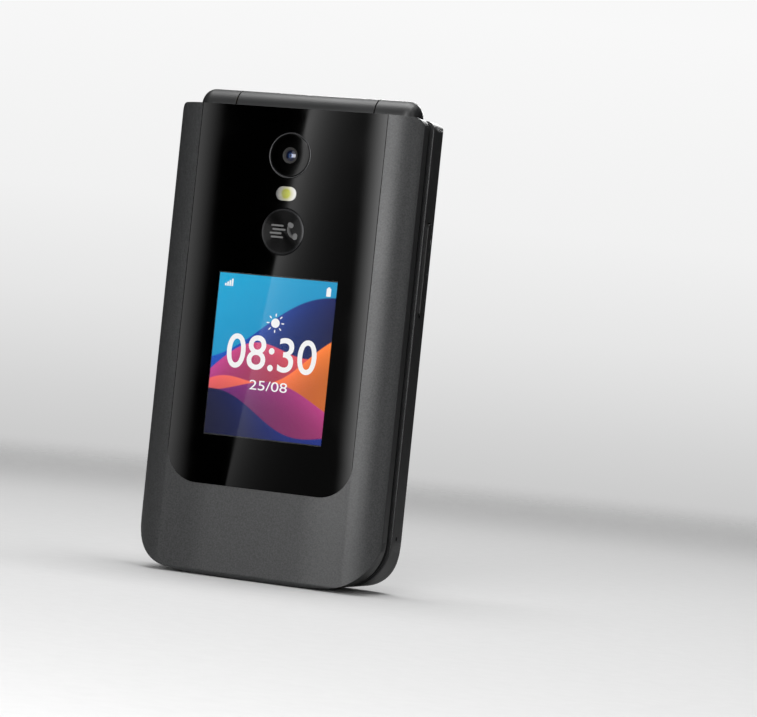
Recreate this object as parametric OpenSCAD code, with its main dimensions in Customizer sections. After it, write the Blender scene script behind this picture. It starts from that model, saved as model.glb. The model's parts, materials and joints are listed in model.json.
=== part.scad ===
// Flip phone, closed and standing on its bottom end.
// X across the width, Y from the lid (front) to the rear cover, Z up the length.
// Origin: middle of the bottom end. Millimetres.

/* [Shell] */
// Width across the side walls
body_w = 58; // [56:0.5:62]
// Height of the hinge axis, where both shells end
body_h = 102.4; // [100:0.2:106]
// Thickness of the closed phone
body_t = 18.9; // [18.5:0.1:20]
// Radius of the bottom corners
corner_r = 11; // [8:0.5:13]
// Radius of the top corners
top_r = 2; // [1:0.5:3]
// Radius of the curved sides of both faces
crown_r = 8.7; // [8:0.1:10]
// Half width of the flat middle of both faces
crown_start = 21.5; // [20:0.1:22]
// Rounding of both faces along the bottom end
end_round = 1.4; // [0.8:0.1:2]

/* [Hinge] */
// Radius of the hinge barrel
barrel_r = 3.9; // [3.6:0.1:4]
// Half length of the hinge barrel
barrel_half = 25.9; // [24:0.1:26.2]
// Half length of the middle knuckle, up to the seam
knuckle_half = 16.5; // [14:0.5:18]
// Rounding of the barrel's ends
barrel_round = 2.8; // [1:0.1:3.2]

/* [Front] */
// Half width of the cover glass
glass_half = 22.1; // [21.6:0.1:22.4]
// Height of the glass's bottom edge
glass_z = 19.8; // [16:0.2:22]
// Radius of the glass's bottom corners
glass_r = 7.5; // [5:0.5:9]
// Height of the outer display's centre
display_z = 47.7; // [46:0.1:48]
// Height of the round cover key's centre
cover_key_z = 75.7; // [74:0.1:77]
// Radius of the round cover key
cover_key_r = 5.1; // [4.5:0.1:5.4]
// Height of the flash's centre
flash_z = 83.9; // [83.5:0.1:84.5]
// Height of the camera's centre
camera_z = 92.2; // [91.5:0.1:92.5]
// Radius of the camera's bezel
camera_r = 5; // [4.5:0.1:5.2]

/* [Keypad] */
// Width of a digit key
key_w = 15; // [12:0.5:15.4]
// Height of a digit key
key_h = 8.4; // [6:0.2:8.8]
// Distance between digit columns
column_step = 16.2; // [15.8:0.1:16.6]
// Distance between digit rows
row_step = 9.6; // [9.2:0.1:9.8]
// Height of a function key
side_key_h = 5.8; // [5:0.1:5.8]
// Travel of a key
key_travel = 0.35; // [0.2:0.05:0.35]

/* [Rear] */
// Half width of the glossy rear panel at its top
panel_half = 22.3; // [21.6:0.1:22.6]
// Height of the rear panel's bottom edge
panel_z = 75.5; // [75:0.5:77]
// Radius of the rear panel's bottom corners
panel_r = 8; // [6:0.5:9]
// Radius of the headphone plug's bore
jack_r = 1.75; // [1.25:0.5:1.75]

/* [Hidden] */
$fn = 96;

// Fits
skin = 0.03;      // between pieces fixed to each other
slip = 0.15;      // between the rear cover and what it slides off
run_gap = 0.05;   // radial, in the hinge

// Shell
half_w = body_w / 2;
face_y = body_t / 2;
end_arc_r = 180;              // large arc of the bottom end
stand_flat = 0.25;            // how much of that arc is cut flat
seam_y = 5.4;                 // seams between the faces and the side bands
band_y = 2.95;                // where the lid's band ends
lid_in_y = -0.9;              // lid's inner face
base_in_y = -0.5;             // keypad face
wall = 1.5;
slope_z = 80;                 // above it the back slopes to the hinge
slope_r = 60;

// Hinge
hinge_y = -0.7;
hinge_z = body_h;
barrel_gap = 0.38;            // between the barrel and the other half
beam_z = 95.5;                // bottom of the solid beams beside the hinge
bore_r = 2.6;

// Lid
display_w = 31;
display_h = 41;
display_t = 1.7;
glass_t = 0.8;
floor_y0 = -face_y + 0.85;    // front of the floor behind the glass
floor_y1 = -face_y + 1.85;
plate_y = -4.7;               // back of the lid frame's middle plate
screen_w = 46.8;              // main display
screen_h = 71.2;
window_w = 48;
window_z0 = 14.5;
window_z1 = 90;
window_mid = (window_z0 + window_z1) / 2;
screw_x_low = 22.5;
screw_z_low = 7;
screw_x_high = 24.9;
screw_z_high = 93;
earpiece_z = 8.4;
board_y = -6.6;               // front of the lid board

// Base
plate_back = 0.8;             // back of the key plate
cap_rise = 0.25;              // how far the keys stand out of the plate
flange_y = plate_back + skin; // front of the keys' flanges
flange_t = 0.2;
flange_out = 0.45;            // how far they reach past the cap
key_gap = 0.25;
dome_r = 2;
dome_h = 0.17;
sheet_y = flange_y + flange_t + key_travel + 0.37;
sheet_t = 0.1;
main_board_y = 1.9;
main_board_t = 0.7;
shield_y = 4.3;               // top of the parts on the main board
cover_top = 100;              // top of the rear cover
cover_t = 1;
bay_z = 41;                   // centre of the battery bay
battery_w = 40.4;
battery_h = 54.4;
side_y = 2.5;                 // line of the keys and holes in the side wall
volume_z = 70.5;
volume_half = 10;
volume_t = 1.7;
volume_switch_z = 6;          // distance of its two switches from its middle
switch_front = flange_y + flange_t + key_travel + 0.12;
mic_y = 2.3;
mic_z = 12.3;
port_y = 3;
port_w = 8.34;                // opening of the USB port
port_h = 2.56;
port_wall = 0.3;
jack_z = 79;
jack_y = 3.3;
jack_half = 3.2;              // half height of the jack's body
lanyard_z = [88.5, 92.7];
lanyard_y = 2.2;
lanyard_hole_y = 2.2;         // size of each hole, across and along the wall
lanyard_hole_z = 2.4;
speaker_z = 87.8;
speaker_w = 15;
slot_z = [83.6, 88.2, 92.8];  // loudspeaker slots

// Screws of the base, [x, z]
base_screw_places = [[-23.2, 10], [23.2, 10], [-19.2, 91.5], [19.2, 91.5]];
post_r = 2;

// Keypad: the function keys around the direction ring
nav_z = 75;
nav_r = 9.4;
nav_rise = 0.14;               // low, so that the tilted ring stays clear of the window
ok_r = 4.3;
side_key_x = 18;
side_key_w = 13.8;
side_row = [67, 75, 83];
back_z = 61.4;
back_h = 5;
key_r = 2;
digit_z = 49.4;               // top row of digits

// ---- helpers: a flat outline extruded along one axis ----
module along_x(x0, x1) {
    translate([x0, 0, 0]) rotate([90, 0, 90]) linear_extrude(x1 - x0) children();
}

module along_y(y0, y1) {
    translate([0, y1, 0]) rotate([90, 0, 0]) linear_extrude(y1 - y0) children();
}

module along_z(z0, z1) {
    translate([0, 0, z0]) linear_extrude(z1 - z0) children();
}

module rod_x(x0, x1, r, y = hinge_y, z = hinge_z) {
    translate([x0, y, z]) rotate([0, 90, 0]) cylinder(r = r, h = x1 - x0);
}

module rod_y(y0, y1, r, x = 0, z = 0) {
    translate([x, y1, z]) rotate([90, 0, 0]) cylinder(r = r, h = y1 - y0);
}

module box(x0, x1, y0, y1, z0, z1) {
    translate([x0, y0, z0]) cube([x1 - x0, y1 - y0, z1 - z0]);
}

module pill(w, h) {
    square([w - h, h], center = true);
    for (s = [-1, 1])
        translate([s * (w - h) / 2, 0]) circle(h / 2);
}

module round_rect(w, h, r) {
    square([w - 2 * r, h], center = true);
    square([w, h - 2 * r], center = true);
    for (sx = [-1, 1], sz = [-1, 1])
        translate([sx * (w / 2 - r), sz * (h / 2 - r)]) circle(r);
}

// ---- the closed phone's form, from three outlines ----
module outline(inset = 0) {
    arc_c = end_arc_r - stand_flat;
    cx = half_w - corner_r;
    cz = arc_c - sqrt(pow(end_arc_r - corner_r, 2) - cx * cx);
    tx = (end_arc_r - inset) * cx / (end_arc_r - corner_r);
    rt = max(top_r - inset, 0.2);
    x1 = half_w - inset;
    z1 = body_h - inset;
    intersection() {
        translate([-tx, inset]) square([2 * tx, 2 * cz]);
        translate([0, arc_c]) circle(end_arc_r - inset, $fn = 720);
    }
    for (s = [-1, 1]) {
        translate([s * cx, cz]) circle(corner_r - inset);
        translate([s * (x1 - rt), z1 - rt]) circle(rt);
    }
    translate([-x1, cz]) square([2 * x1, z1 - rt - cz]);
    translate([-x1 + rt, cz]) square([2 * (x1 - rt), z1 - cz]);
}

module crown(inset) {
    intersection() {
        translate([-half_w - 1, -0.01]) square([body_w + 2, face_y]);
        union() {
            translate([-crown_start, -0.01]) square([2 * crown_start, face_y - inset + 0.01]);
            for (s = [-1, 1])
                translate([s * crown_start, face_y - crown_r]) circle(crown_r - inset);
        }
    }
}

module section(inset) {
    crown(inset);
    mirror([0, 1]) crown(inset);
}

module side_view(inset) {
    f = face_y - inset;
    intersection() {
        union() {
            translate([-f, end_round]) square([2 * f, body_h]);
            translate([-f + end_round, 0]) square([2 * (f - end_round), body_h]);
            for (s = [-1, 1])
                translate([s * (f - end_round), end_round]) circle(end_round);
        }
        union() {
            translate([-face_y, 0]) square([body_t, slope_z]);
            translate([-face_y, slope_z - 1]) square([face_y, body_h]);
            intersection() {
                translate([-1, slope_z]) square([body_t, body_h]);
                translate([face_y - slope_r, slope_z]) circle(slope_r - inset, $fn = 360);
            }
        }
    }
}

// A slice of the phone between two depths. inset shrinks its outline, sink its faces.
module slice(y0, y1, inset = 0, sink = 0) {
    intersection() {
        along_y(y0, y1) outline(inset);
        along_z(0, body_h) section(sink);
        along_x(-half_w, half_w) side_view(sink);
    }
}

module glass_outline(gap = 0) {
    g = glass_half + gap;
    z0 = glass_z - gap;
    translate([-g, glass_z + glass_r]) square([2 * g, body_h - glass_z - glass_r]);
    translate([-glass_half + glass_r, z0]) square([2 * (glass_half - glass_r), glass_r * 2]);
    for (s = [-1, 1])
        translate([s * (glass_half - glass_r), glass_z + glass_r]) circle(glass_r + gap);
}

module panel_outline(gap = 0) {
    low_half = panel_half - 2;
    mid_z = panel_z + panel_r;
    r = panel_r + gap;
    g = low_half + gap;
    difference() {
        polygon([
            [-panel_half - gap, body_h + 1], [panel_half + gap, body_h + 1],
            [g, mid_z + 3], [g, panel_z - gap], [-g, panel_z - gap], [-g, mid_z + 3]
        ]);
        for (m = [0, 1])
            mirror([m, 0]) translate([low_half - panel_r, mid_z]) difference() {
                translate([0, -r - 1]) square([r + 1, r + 1]);
                circle(r);
            }
    }
}

// The space of the rear panel, outside the surface that carries it
module panel_space(gap, depth) {
    difference() {
        along_y(2, face_y + 1) panel_outline(gap);
        slice(1, face_y, 0, depth);
    }
}

// ---- lid ----
module lid_screw_places() {
    for (s = [-1, 1]) {
        translate([s * screw_x_low, 0, screw_z_low]) children();
        translate([s * screw_x_high, 0, screw_z_high]) children();
    }
}

module lid_front() {
    color([0.20, 0.205, 0.215])
    difference() {
        slice(-face_y, -seam_y);
        difference() {
            slice(floor_y1, -seam_y + 1, wall, 1.2);
            box(-half_w, half_w, floor_y1 - 1, 0, beam_z + 1.5, body_h + 1);
            lid_screw_places() rod_y(-face_y, 0, 2);
        }
        along_y(-face_y - 1, floor_y0) glass_outline(skin);
        translate([0, 0, display_z]) along_y(floor_y0 - 1, floor_y1 + 1)
            square([display_w + 0.4, display_h + 0.4], center = true);
        rod_y(floor_y0 - 1, floor_y1 + 1, 3, 0, camera_z);
        rod_y(floor_y0 - 1, floor_y1 + 1, cover_key_r + 0.85, 0, cover_key_z);
        translate([0, 0, flash_z]) along_y(floor_y0 - 1, floor_y1 + 1) pill(5, 3.2);
        lid_screw_places() rod_y(-7.3, 0, 0.75);
    }
}

module cover_glass() {
    color([0.02, 0.02, 0.025, 0.9])
    difference() {
        intersection() {
            along_y(-face_y, -face_y + glass_t) glass_outline();
            slice(-face_y, 0);
        }
        rod_y(-face_y - 1, 0, camera_r + skin, 0, camera_z);
        rod_y(-face_y - 1, 0, cover_key_r + slip, 0, cover_key_z);
        translate([0, 0, flash_z]) along_y(-face_y - 1, 0) pill(4.96, 3.16);
    }
}

module camera_bezel() {
    color([0.35, 0.36, 0.38])
    difference() {
        rod_y(-face_y, -face_y + glass_t, camera_r, 0, camera_z);
        rod_y(-face_y - 1, 0, camera_r - 0.35, 0, camera_z);
    }
}

module camera_window() {
    color([0.03, 0.03, 0.04])
    rod_y(-face_y + 0.12, -face_y + glass_t, camera_r - 0.35 - skin, 0, camera_z);
}

module camera_module() {
    color([0.08, 0.09, 0.12]) {
        rod_y(-face_y + 0.87, floor_y1 + 0.1, 1.9, 0, camera_z);
        box(-4.2, 4.2, floor_y1 + 0.05, -5.9, camera_z - 4.2, camera_z + 3.2);
    }
}

module flash_lens() {
    color([0.95, 0.93, 0.80])
    translate([0, 0, flash_z]) along_y(-face_y + 0.05, floor_y1 + 0.3) pill(4.9, 3.1);
}

module outer_display() {
    color([0.10, 0.45, 0.75])
    translate([0, 0, display_z]) along_y(floor_y0, floor_y0 + display_t)
        square([display_w, display_h], center = true);
}

module lid_board() {
    color([0.05, 0.30, 0.18]) {
        box(-21, 21, board_y, board_y + 0.8, 57, 87.5);
        box(-1.8, 1.8, board_y - 0.5, board_y, cover_key_z - 1.8, cover_key_z + 1.8);
        box(-1.1, 1.1, board_y - 0.5, board_y, flash_z - 1.1, flash_z + 1.1);
        box(8, 18, board_y + 0.8, board_y + 1.1, 60, 84);
    }
}

module window_outline(gap = 0) {
    translate([0, window_mid])
        round_rect(window_w + 2 * gap, window_z1 - window_z0 + 2 * gap, 3 + gap);
}

module lid_frame() {
    color([0.11, 0.112, 0.118])
    difference() {
        union() {
            slice(-seam_y + skin, -band_y);
            slice(-band_y, lid_in_y, 0.9);
            rod_x(-knuckle_half + slip, knuckle_half - slip, barrel_r);
        }
        // the base's end knuckles turn here
        rod_x(knuckle_half - slip, barrel_half + 0.4, barrel_r + barrel_gap);
        rod_x(-barrel_half - 0.4, -knuckle_half + slip, barrel_r + barrel_gap);
        along_y(-1.8, 0) window_outline(0.1);
        translate([0, 0, window_mid]) along_y(plate_y, -1.7)
            square([screen_w + 0.4, screen_h + 0.4], center = true);
        box(-7.2, 7.2, plate_y, -1.7, earpiece_z - 3.2, earpiece_z + 3.2);
        translate([0, 0, earpiece_z]) along_y(-2, 0) pill(10, 1.6);
        lid_screw_places() rod_y(-seam_y - 1, 0, 0.9);
        lid_screw_places() rod_y(-2.6, 0, 1.6);
        // hinge bores: cam shaft on the right, bush on the left
        rod_x(8.5, half_w, 1.5 + run_gap);
        rod_x(-half_w, -8.5, bore_r + run_gap);
    }
}

module main_display() {
    color([0.16, 0.30, 0.55])
    translate([0, 0, window_mid]) along_y(plate_y + 0.05, -1.85)
        square([screen_w, screen_h], center = true);
}

module inner_window() {
    color([0.03, 0.03, 0.04, 0.9])
    along_y(-1.77, -0.97) window_outline();
}

module earpiece() {
    color([0.10, 0.10, 0.11])
    translate([0, 0, earpiece_z]) along_y(plate_y + 0.05, -2.05) round_rect(12, 6, 1.5);
}

module earpiece_mesh() {
    color([0.30, 0.30, 0.32])
    translate([0, 0, earpiece_z]) along_y(-1.5, -1.15) pill(9.9, 1.5);
}

module lid_bumpers() {
    color([0.06, 0.06, 0.06])
    lid_screw_places() {
        rod_y(-1.85, lid_in_y, 1.55);
        rod_y(lid_in_y - 0.01, base_in_y - 0.06, 1.2);
    }
}

module lid_screws() {
    color([0.55, 0.55, 0.58])
    lid_screw_places() {
        rod_y(-7.2, -2.5, 0.7);
        rod_y(-2.57, -1.95, 1.4);
    }
}

module cover_key() {
    color([0.06, 0.06, 0.065]) {
        rod_y(-face_y + 0.1, floor_y0 + 0.01, cover_key_r, 0, cover_key_z);
        rod_y(floor_y0, floor_y0 + 0.4, cover_key_r + 0.65, 0, cover_key_z);
        rod_y(floor_y0 + 0.39, board_y - 0.95, 1.2, 0, cover_key_z);
    }
}

// ---- base ----
function digit_x(i) = (i % 3 - 1) * column_step;
function digit_row_z(i) = digit_z - floor(i / 3) * row_step;

module key_outline(w, h, gap = 0) {
    round_rect(w + 2 * gap, h + 2 * gap, key_r + gap);
}

module key_holes() {
    translate([0, nav_z]) circle(nav_r + key_gap);
    for (s = [-1, 1], z = side_row)
        translate([s * side_key_x, z]) key_outline(side_key_w, side_key_h, key_gap);
    translate([0, back_z]) key_outline(key_w, back_h, key_gap);
    for (i = [0:11])
        translate([digit_x(i), digit_row_z(i)]) key_outline(key_w, key_h, key_gap);
}

module end_knuckle() {
    translate([knuckle_half + slip, hinge_y, hinge_z]) rotate([0, 90, 0])
        rotate_extrude() {
            len = barrel_half - knuckle_half - slip;
            square([barrel_r, len - barrel_round]);
            square([barrel_r - barrel_round, len]);
            translate([barrel_r - barrel_round, len - barrel_round])
                intersection() {
                    circle(barrel_round);
                    translate([-(barrel_r - barrel_round), -barrel_round])
                        square([barrel_r, 2 * barrel_round]);
                }
        }
}

module base_cavity() {
    difference() {
        along_y(plate_back, face_y + 1) outline(wall);
        box(-half_w, half_w, 0, face_y + 2, beam_z, body_h + 1);
        // block that holds the lanyard loop
        box(-half_w, -24.9, 0, seam_y, 86, beam_z + 1);
        for (p = base_screw_places) rod_y(0, 3, post_r, p[0], p[1]);
    }
}

module lanyard_space(x0, z0, z1) {
    box(x0, -half_w + 3.4, lanyard_y, lanyard_y + lanyard_hole_y,
        z0 - lanyard_hole_z / 2, z1 + lanyard_hole_z / 2);
}

module base_front() {
    color([0.13, 0.132, 0.14])
    difference() {
        union() {
            slice(base_in_y, 0.1, 0.4);
            slice(0.1, seam_y - skin);
            intersection() {
                slice(1, face_y);
                box(-half_w, half_w, 0, face_y, cover_top + slip, body_h);
            }
            end_knuckle();
            mirror([1, 0, 0]) end_knuckle();
        }
        base_cavity();
        panel_space(skin, 1.25);
        along_y(base_in_y - 1, plate_back + 1) key_holes();
        // the lid's middle knuckle turns here
        rod_x(-knuckle_half, knuckle_half, barrel_r + barrel_gap);
        // bores for the hinge capsule and the bush
        rod_x(knuckle_half - 1, 24.4, bore_r);
        rod_x(-24.4, -knuckle_half + 1, bore_r);
        box(-24.3, -22.5, 0.6, 0.95, 80, hinge_z + 1);
        // volume key slot, microphone hole, headphone jack
        translate([half_w - 3, side_y, volume_z]) rotate([90, 0, 90])
            linear_extrude(4) rotate(90) pill(2 * volume_half + 0.6, volume_t + 0.4);
        rod_x(half_w - 3, half_w + 1, 0.5, mic_y, mic_z);
        rod_x(-half_w - 1, -half_w + 3, jack_r + 0.25, jack_y, jack_z);
        // USB port
        translate([0, port_y, -1]) linear_extrude(4)
            pill(port_w + 2 * port_wall + 0.36, port_h + 2 * port_wall + 0.44);
        // lanyard holes, joined behind a bar
        for (z = lanyard_z)
            lanyard_space(-half_w - 1, z, z);
        lanyard_space(-half_w + 1.6, lanyard_z[0], lanyard_z[1]);
        for (p = base_screw_places) rod_y(1.2, 4, 0.75, p[0], p[1]);
    }
}

module base_chassis() {
    color([0.15, 0.15, 0.16])
    difference() {
        intersection() {
            slice(2.9, face_y, wall + 0.35, cover_t + 0.25);
            union() {
                box(-half_w, half_w, 3, 3.8, 0, 94);
                translate([0, 0, bay_z]) along_y(3, face_y)
                    round_rect(battery_w + 3, battery_h + 3, 2);
                along_y(3, face_y) difference() {
                    translate([0, 84.5]) square([47, 21], center = true);
                    translate([0, 85.5]) square([33.2, 19], center = true);
                }
            }
        }
        translate([0, 0, bay_z]) along_y(3.8, face_y) round_rect(battery_w + 0.4, battery_h + 0.4, 1.5);
        box(-6.3, 6.3, 3.8, face_y, 66, 72);
        box(-18, -0.5, 2, 5, 39, 57);                    // card holder
        box(-16.6, 16.6, 2, 5, 76, 94);                  // parts behind the rear panel
        box(-half_w, -14.5, 2, 5.8, 75.2, 82.8);         // headphone jack
        box(-half_w, -24.8, 2, face_y, 85, 96);          // lanyard block
        box(-5.5, 5.5, 2, 5.2, 0, 9.6);                  // USB port
        box(24.1, half_w, 2, 5, 58, 83);                 // volume key
        for (p = base_screw_places) {
            rod_y(2, face_y, 0.9, p[0], p[1]);
            rod_y(3.82, face_y, 1.6, p[0], p[1]);
        }
    }
}

module rear_panel() {
    color([0.03, 0.03, 0.035])
    difference() {
        intersection() {
            slice(2, face_y);
            along_y(2, face_y + 1) panel_outline();
            box(-half_w, half_w, 0, face_y, 0, body_h - 0.15);
        }
        slice(1, face_y, 0, 1.2);
        rod_x(-half_w, half_w, barrel_r + barrel_gap);
        for (z = slot_z)
            translate([0, 0, z]) along_y(2, face_y + 1) pill(12, 1.9);
    }
}

module battery_cover() {
    color([0.22, 0.225, 0.235])
    difference() {
        slice(seam_y, face_y);
        slice(seam_y - 1, face_y, 1.2, cover_t);
        along_y(2, face_y + 1) panel_outline(slip);
        box(-half_w, half_w, 0, face_y + 1, cover_top, body_h + 1);
    }
}

module main_board() {
    color([0.04, 0.28, 0.17])
    difference() {
        along_y(main_board_y, main_board_y + main_board_t) outline(4.9);
        box(-half_w, half_w, 0, 4, 94.5, body_h);
        box(-half_w, -14.5, 0, 4, 75.2, 82.8);
        box(-half_w, -24.6, 0, 4, 85, body_h);
        box(-5.5, 5.5, 0, 4, 0, 9.6);
        for (p = base_screw_places) rod_y(0, 4, post_r + 0.3, p[0], p[1]);
    }
}

module board_shields() {
    color([0.66, 0.67, 0.69]) {
        box(9, 16, main_board_y + main_board_t, shield_y, 77.5, 93.5);
        box(-12.5, 8, main_board_y + main_board_t, shield_y, 76.4, 79.4);
    }
}

module battery() {
    color([0.12, 0.13, 0.15])
    translate([0, 0, bay_z]) along_y(4.25, 8.2) round_rect(battery_w, battery_h, 1.2);
}

module battery_contacts() {
    color([0.80, 0.65, 0.30])
    box(-6, 6, 3.85, 6.8, 68.5, 71.5);
}

module dome(x, z) {
    rod_y(sheet_y - dome_h, sheet_y + sheet_t / 2, dome_r, x, z);
}

module dome_sheet() {
    color([0.75, 0.75, 0.78])
    difference() {
        union() {
            box(-24.2, 24.2, sheet_y, sheet_y + sheet_t, 15, 90);
            for (s = [-1, 1], z = side_row) dome(s * side_key_x, z);
            dome(0, nav_z);
            dome(0, back_z);
            for (i = [0:11]) dome(digit_x(i), digit_row_z(i));
        }
        box(-half_w, -14.6, 0, 3, jack_z - 1.9, jack_z + 1.9);
        for (p = base_screw_places) rod_y(0, 4, post_r + 0.3, p[0], p[1]);
    }
}

module loudspeaker() {
    color([0.09, 0.09, 0.10]) {
        translate([0, 0, speaker_z]) {
            along_y(2.65, 5.3) round_rect(speaker_w, speaker_w, 2);
            along_y(5.3, 5.55) round_rect(speaker_w - 1.5, speaker_w - 2, 2);
        }
    }
}

module usb_port() {
    color([0.70, 0.71, 0.73]) {
        difference() {
            translate([0, port_y, 0.5]) linear_extrude(8.6)
                pill(port_w + 2 * port_wall, port_h + 2 * port_wall + 0.1);
            translate([0, port_y, 0]) linear_extrude(8.2) pill(port_w, port_h);
        }
        box(-3.3, 3.3, port_y - 0.35, port_y + 0.35, 1.2, 8.4);
    }
}

module headphone_jack() {
    color([0.10, 0.10, 0.11])
    difference() {
        union() {
            box(-half_w + wall + 0.1, -15, sheet_y + 0.25, 5.7, jack_z - jack_half, jack_z + jack_half);
            rod_x(-half_w + 0.4, -15, jack_r + 0.22, jack_y, jack_z);
        }
        rod_x(-half_w - 1, -16, jack_r, jack_y, jack_z);
    }
}

module microphone() {
    color([0.72, 0.70, 0.62])
    box(25.7, 27.3, mic_y - 0.6, mic_y + 0.6, mic_z - 1.7, mic_z + 1.7);
}

module sim_holder() {
    color([0.60, 0.61, 0.63])
    difference() {
        box(-17.5, -1, main_board_y + main_board_t, 4.15, 40, 56);
        box(-16.9, 0, 3, 3.9, 40.6, 53);
    }
}

module antenna() {
    color([0.25, 0.22, 0.15])
    intersection() {
        slice(0.9, 2.85, wall + 0.3, 0);
        union() {
            box(6.5, 20.4, 0.9, 2.85, 0, 4.6);
            box(-20.4, -6.5, 0.9, 2.85, 0, 4.6);
        }
    }
}

module volume_switches() {
    color([0.75, 0.60, 0.30]) {
        box(24.3, 24.9, switch_front, side_y + 1.3, volume_z - 9, volume_z + 9);
        for (s = [-1, 1])
            translate([24.8, side_y, volume_z + s * volume_switch_z]) rotate([0, 90, 0])
                cylinder(r = 1, h = 0.6);
    }
}

module volume_key() {
    color([0.12, 0.12, 0.13]) {
        translate([27, side_y, volume_z]) rotate([90, 0, 90])
            linear_extrude(half_w + 0.35 - 27) rotate(90) pill(2 * volume_half, volume_t);
        box(26.4, 27.15, side_y - 1.5, side_y + 1.5, volume_z - 10.8, volume_z + 10.8);
        for (s = [-1, 1])
            translate([25.75, side_y - 0.6, volume_z + s * volume_switch_z - 0.6])
                cube([0.75, 1.2, 1.2]);
    }
}

module vibration_motor() {
    color([0.68, 0.68, 0.70])
    rod_y(2.65, 5.3, 3.6, -12.7, 88);
}

module hinge_capsule() {
    color([0.62, 0.63, 0.65]) {
        rod_x(knuckle_half + 0.2, 24.2, bore_r - 0.02);
        rod_x(9, knuckle_half + 0.3, 1.5);
    }
}

module hinge_bush() {
    color([0.70, 0.60, 0.35])
    difference() {
        rod_x(-22.5, -10.5, bore_r - 0.02);
        rod_x(-30, 0, 2);
    }
}

module hinge_flex() {
    color([0.75, 0.48, 0.15]) {
        difference() {
            rod_x(-24.2, -9, 1.75);
            rod_x(-30, 0, 1.45);
        }
        box(-24.2, -22.6, 0.7, 0.85, 87, hinge_z);
    }
}

module base_screws() {
    color([0.55, 0.55, 0.58])
    for (p = base_screw_places) {
        rod_y(1.3, 3.9, 0.7, p[0], p[1]);
        rod_y(3.84, 4.5, 1.4, p[0], p[1]);
    }
}

// ---- keys: a cap in the plate's hole and a flange behind it ----
module key(x, z, w, h) {
    color([0.10, 0.10, 0.11])
    translate([x, 0, z]) {
        along_y(base_in_y - cap_rise, flange_y) key_outline(w, h);
        along_y(flange_y - 0.01, flange_y + flange_t) key_outline(w, h, flange_out);
    }
}

module digit_key(i) {
    key(digit_x(i), digit_row_z(i), key_w, key_h);
}

module side_key(side, row) {
    key(side * side_key_x, side_row[row], side_key_w, side_key_h);
}

module back_key() {
    key(0, back_z, key_w, back_h);
}

module nav_carrier() {
    color([0.20, 0.20, 0.21])
    difference() {
        rod_y(flange_y + 0.22, flange_y + 0.22 + flange_t, nav_r + 0.7, 0, nav_z);
        rod_y(0, 3, ok_r + 0.9, 0, nav_z);
    }
}

module nav_ring() {
    color([0.14, 0.14, 0.15])
    difference() {
        rod_y(base_in_y - nav_rise, plate_back - 0.05, nav_r, 0, nav_z);
        rod_y(-2, 3, ok_r + key_gap, 0, nav_z);
    }
}

module ok_key() {
    color([0.10, 0.10, 0.11]) {
        rod_y(base_in_y - cap_rise, flange_y + 0.17, ok_r, 0, nav_z);
        rod_y(flange_y + 0.15, flange_y + 0.15 + flange_t, ok_r + 0.5, 0, nav_z);
    }
}

lid_front();
cover_glass();
camera_bezel();
camera_window();
camera_module();
flash_lens();
outer_display();
lid_board();
lid_frame();
main_display();
inner_window();
earpiece();
earpiece_mesh();
lid_bumpers();
lid_screws();
cover_key();
base_front();
base_chassis();
rear_panel();
battery_cover();
main_board();
board_shields();
battery();
battery_contacts();
dome_sheet();
loudspeaker();
usb_port();
headphone_jack();
microphone();
sim_holder();
antenna();
volume_switches();
volume_key();
vibration_motor();
hinge_capsule();
hinge_bush();
hinge_flex();
base_screws();
nav_carrier();
nav_ring();
ok_key();
side_key(-1, 2);  // soft_key_left
side_key(1, 2);  // soft_key_right
side_key(-1, 1);  // side_key_left
side_key(1, 1);  // side_key_right
side_key(-1, 0);  // send_key
side_key(1, 0);  // end_key
back_key();
digit_key(0);  // key_1
digit_key(1);  // key_2
digit_key(2);  // key_3
digit_key(3);  // key_4
digit_key(4);  // key_5
digit_key(5);  // key_6
digit_key(6);  // key_7
digit_key(7);  // key_8
digit_key(8);  // key_9
digit_key(9);  // key_star
digit_key(10);  // key_0
digit_key(11);  // key_hash
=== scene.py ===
"""The looks of a flip phone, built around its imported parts. All lengths are millimetres times MM."""

import json
import math

import bmesh
import bpy
from mathutils import Matrix, Vector

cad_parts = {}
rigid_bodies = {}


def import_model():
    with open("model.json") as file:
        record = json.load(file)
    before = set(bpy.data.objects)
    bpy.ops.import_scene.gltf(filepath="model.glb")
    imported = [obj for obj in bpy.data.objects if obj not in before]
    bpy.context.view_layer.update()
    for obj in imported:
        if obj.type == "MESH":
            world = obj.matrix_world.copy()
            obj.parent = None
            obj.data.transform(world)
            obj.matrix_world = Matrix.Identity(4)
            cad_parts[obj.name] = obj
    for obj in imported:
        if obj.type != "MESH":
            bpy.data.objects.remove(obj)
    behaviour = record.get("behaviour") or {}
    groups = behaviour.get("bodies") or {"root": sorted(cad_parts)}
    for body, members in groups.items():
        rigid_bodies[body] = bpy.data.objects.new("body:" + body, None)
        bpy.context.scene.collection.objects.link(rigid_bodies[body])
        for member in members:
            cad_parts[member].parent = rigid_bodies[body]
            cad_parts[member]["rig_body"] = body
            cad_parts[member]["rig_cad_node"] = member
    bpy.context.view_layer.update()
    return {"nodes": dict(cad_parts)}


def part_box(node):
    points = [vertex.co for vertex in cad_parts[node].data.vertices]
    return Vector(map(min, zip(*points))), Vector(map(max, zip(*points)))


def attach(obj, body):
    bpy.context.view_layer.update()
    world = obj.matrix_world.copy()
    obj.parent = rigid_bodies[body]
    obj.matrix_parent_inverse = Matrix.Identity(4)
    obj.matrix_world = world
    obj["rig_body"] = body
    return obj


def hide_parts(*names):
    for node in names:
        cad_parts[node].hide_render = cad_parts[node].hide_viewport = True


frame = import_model()

MM = 0.001
NODES = frame["nodes"]

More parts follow.
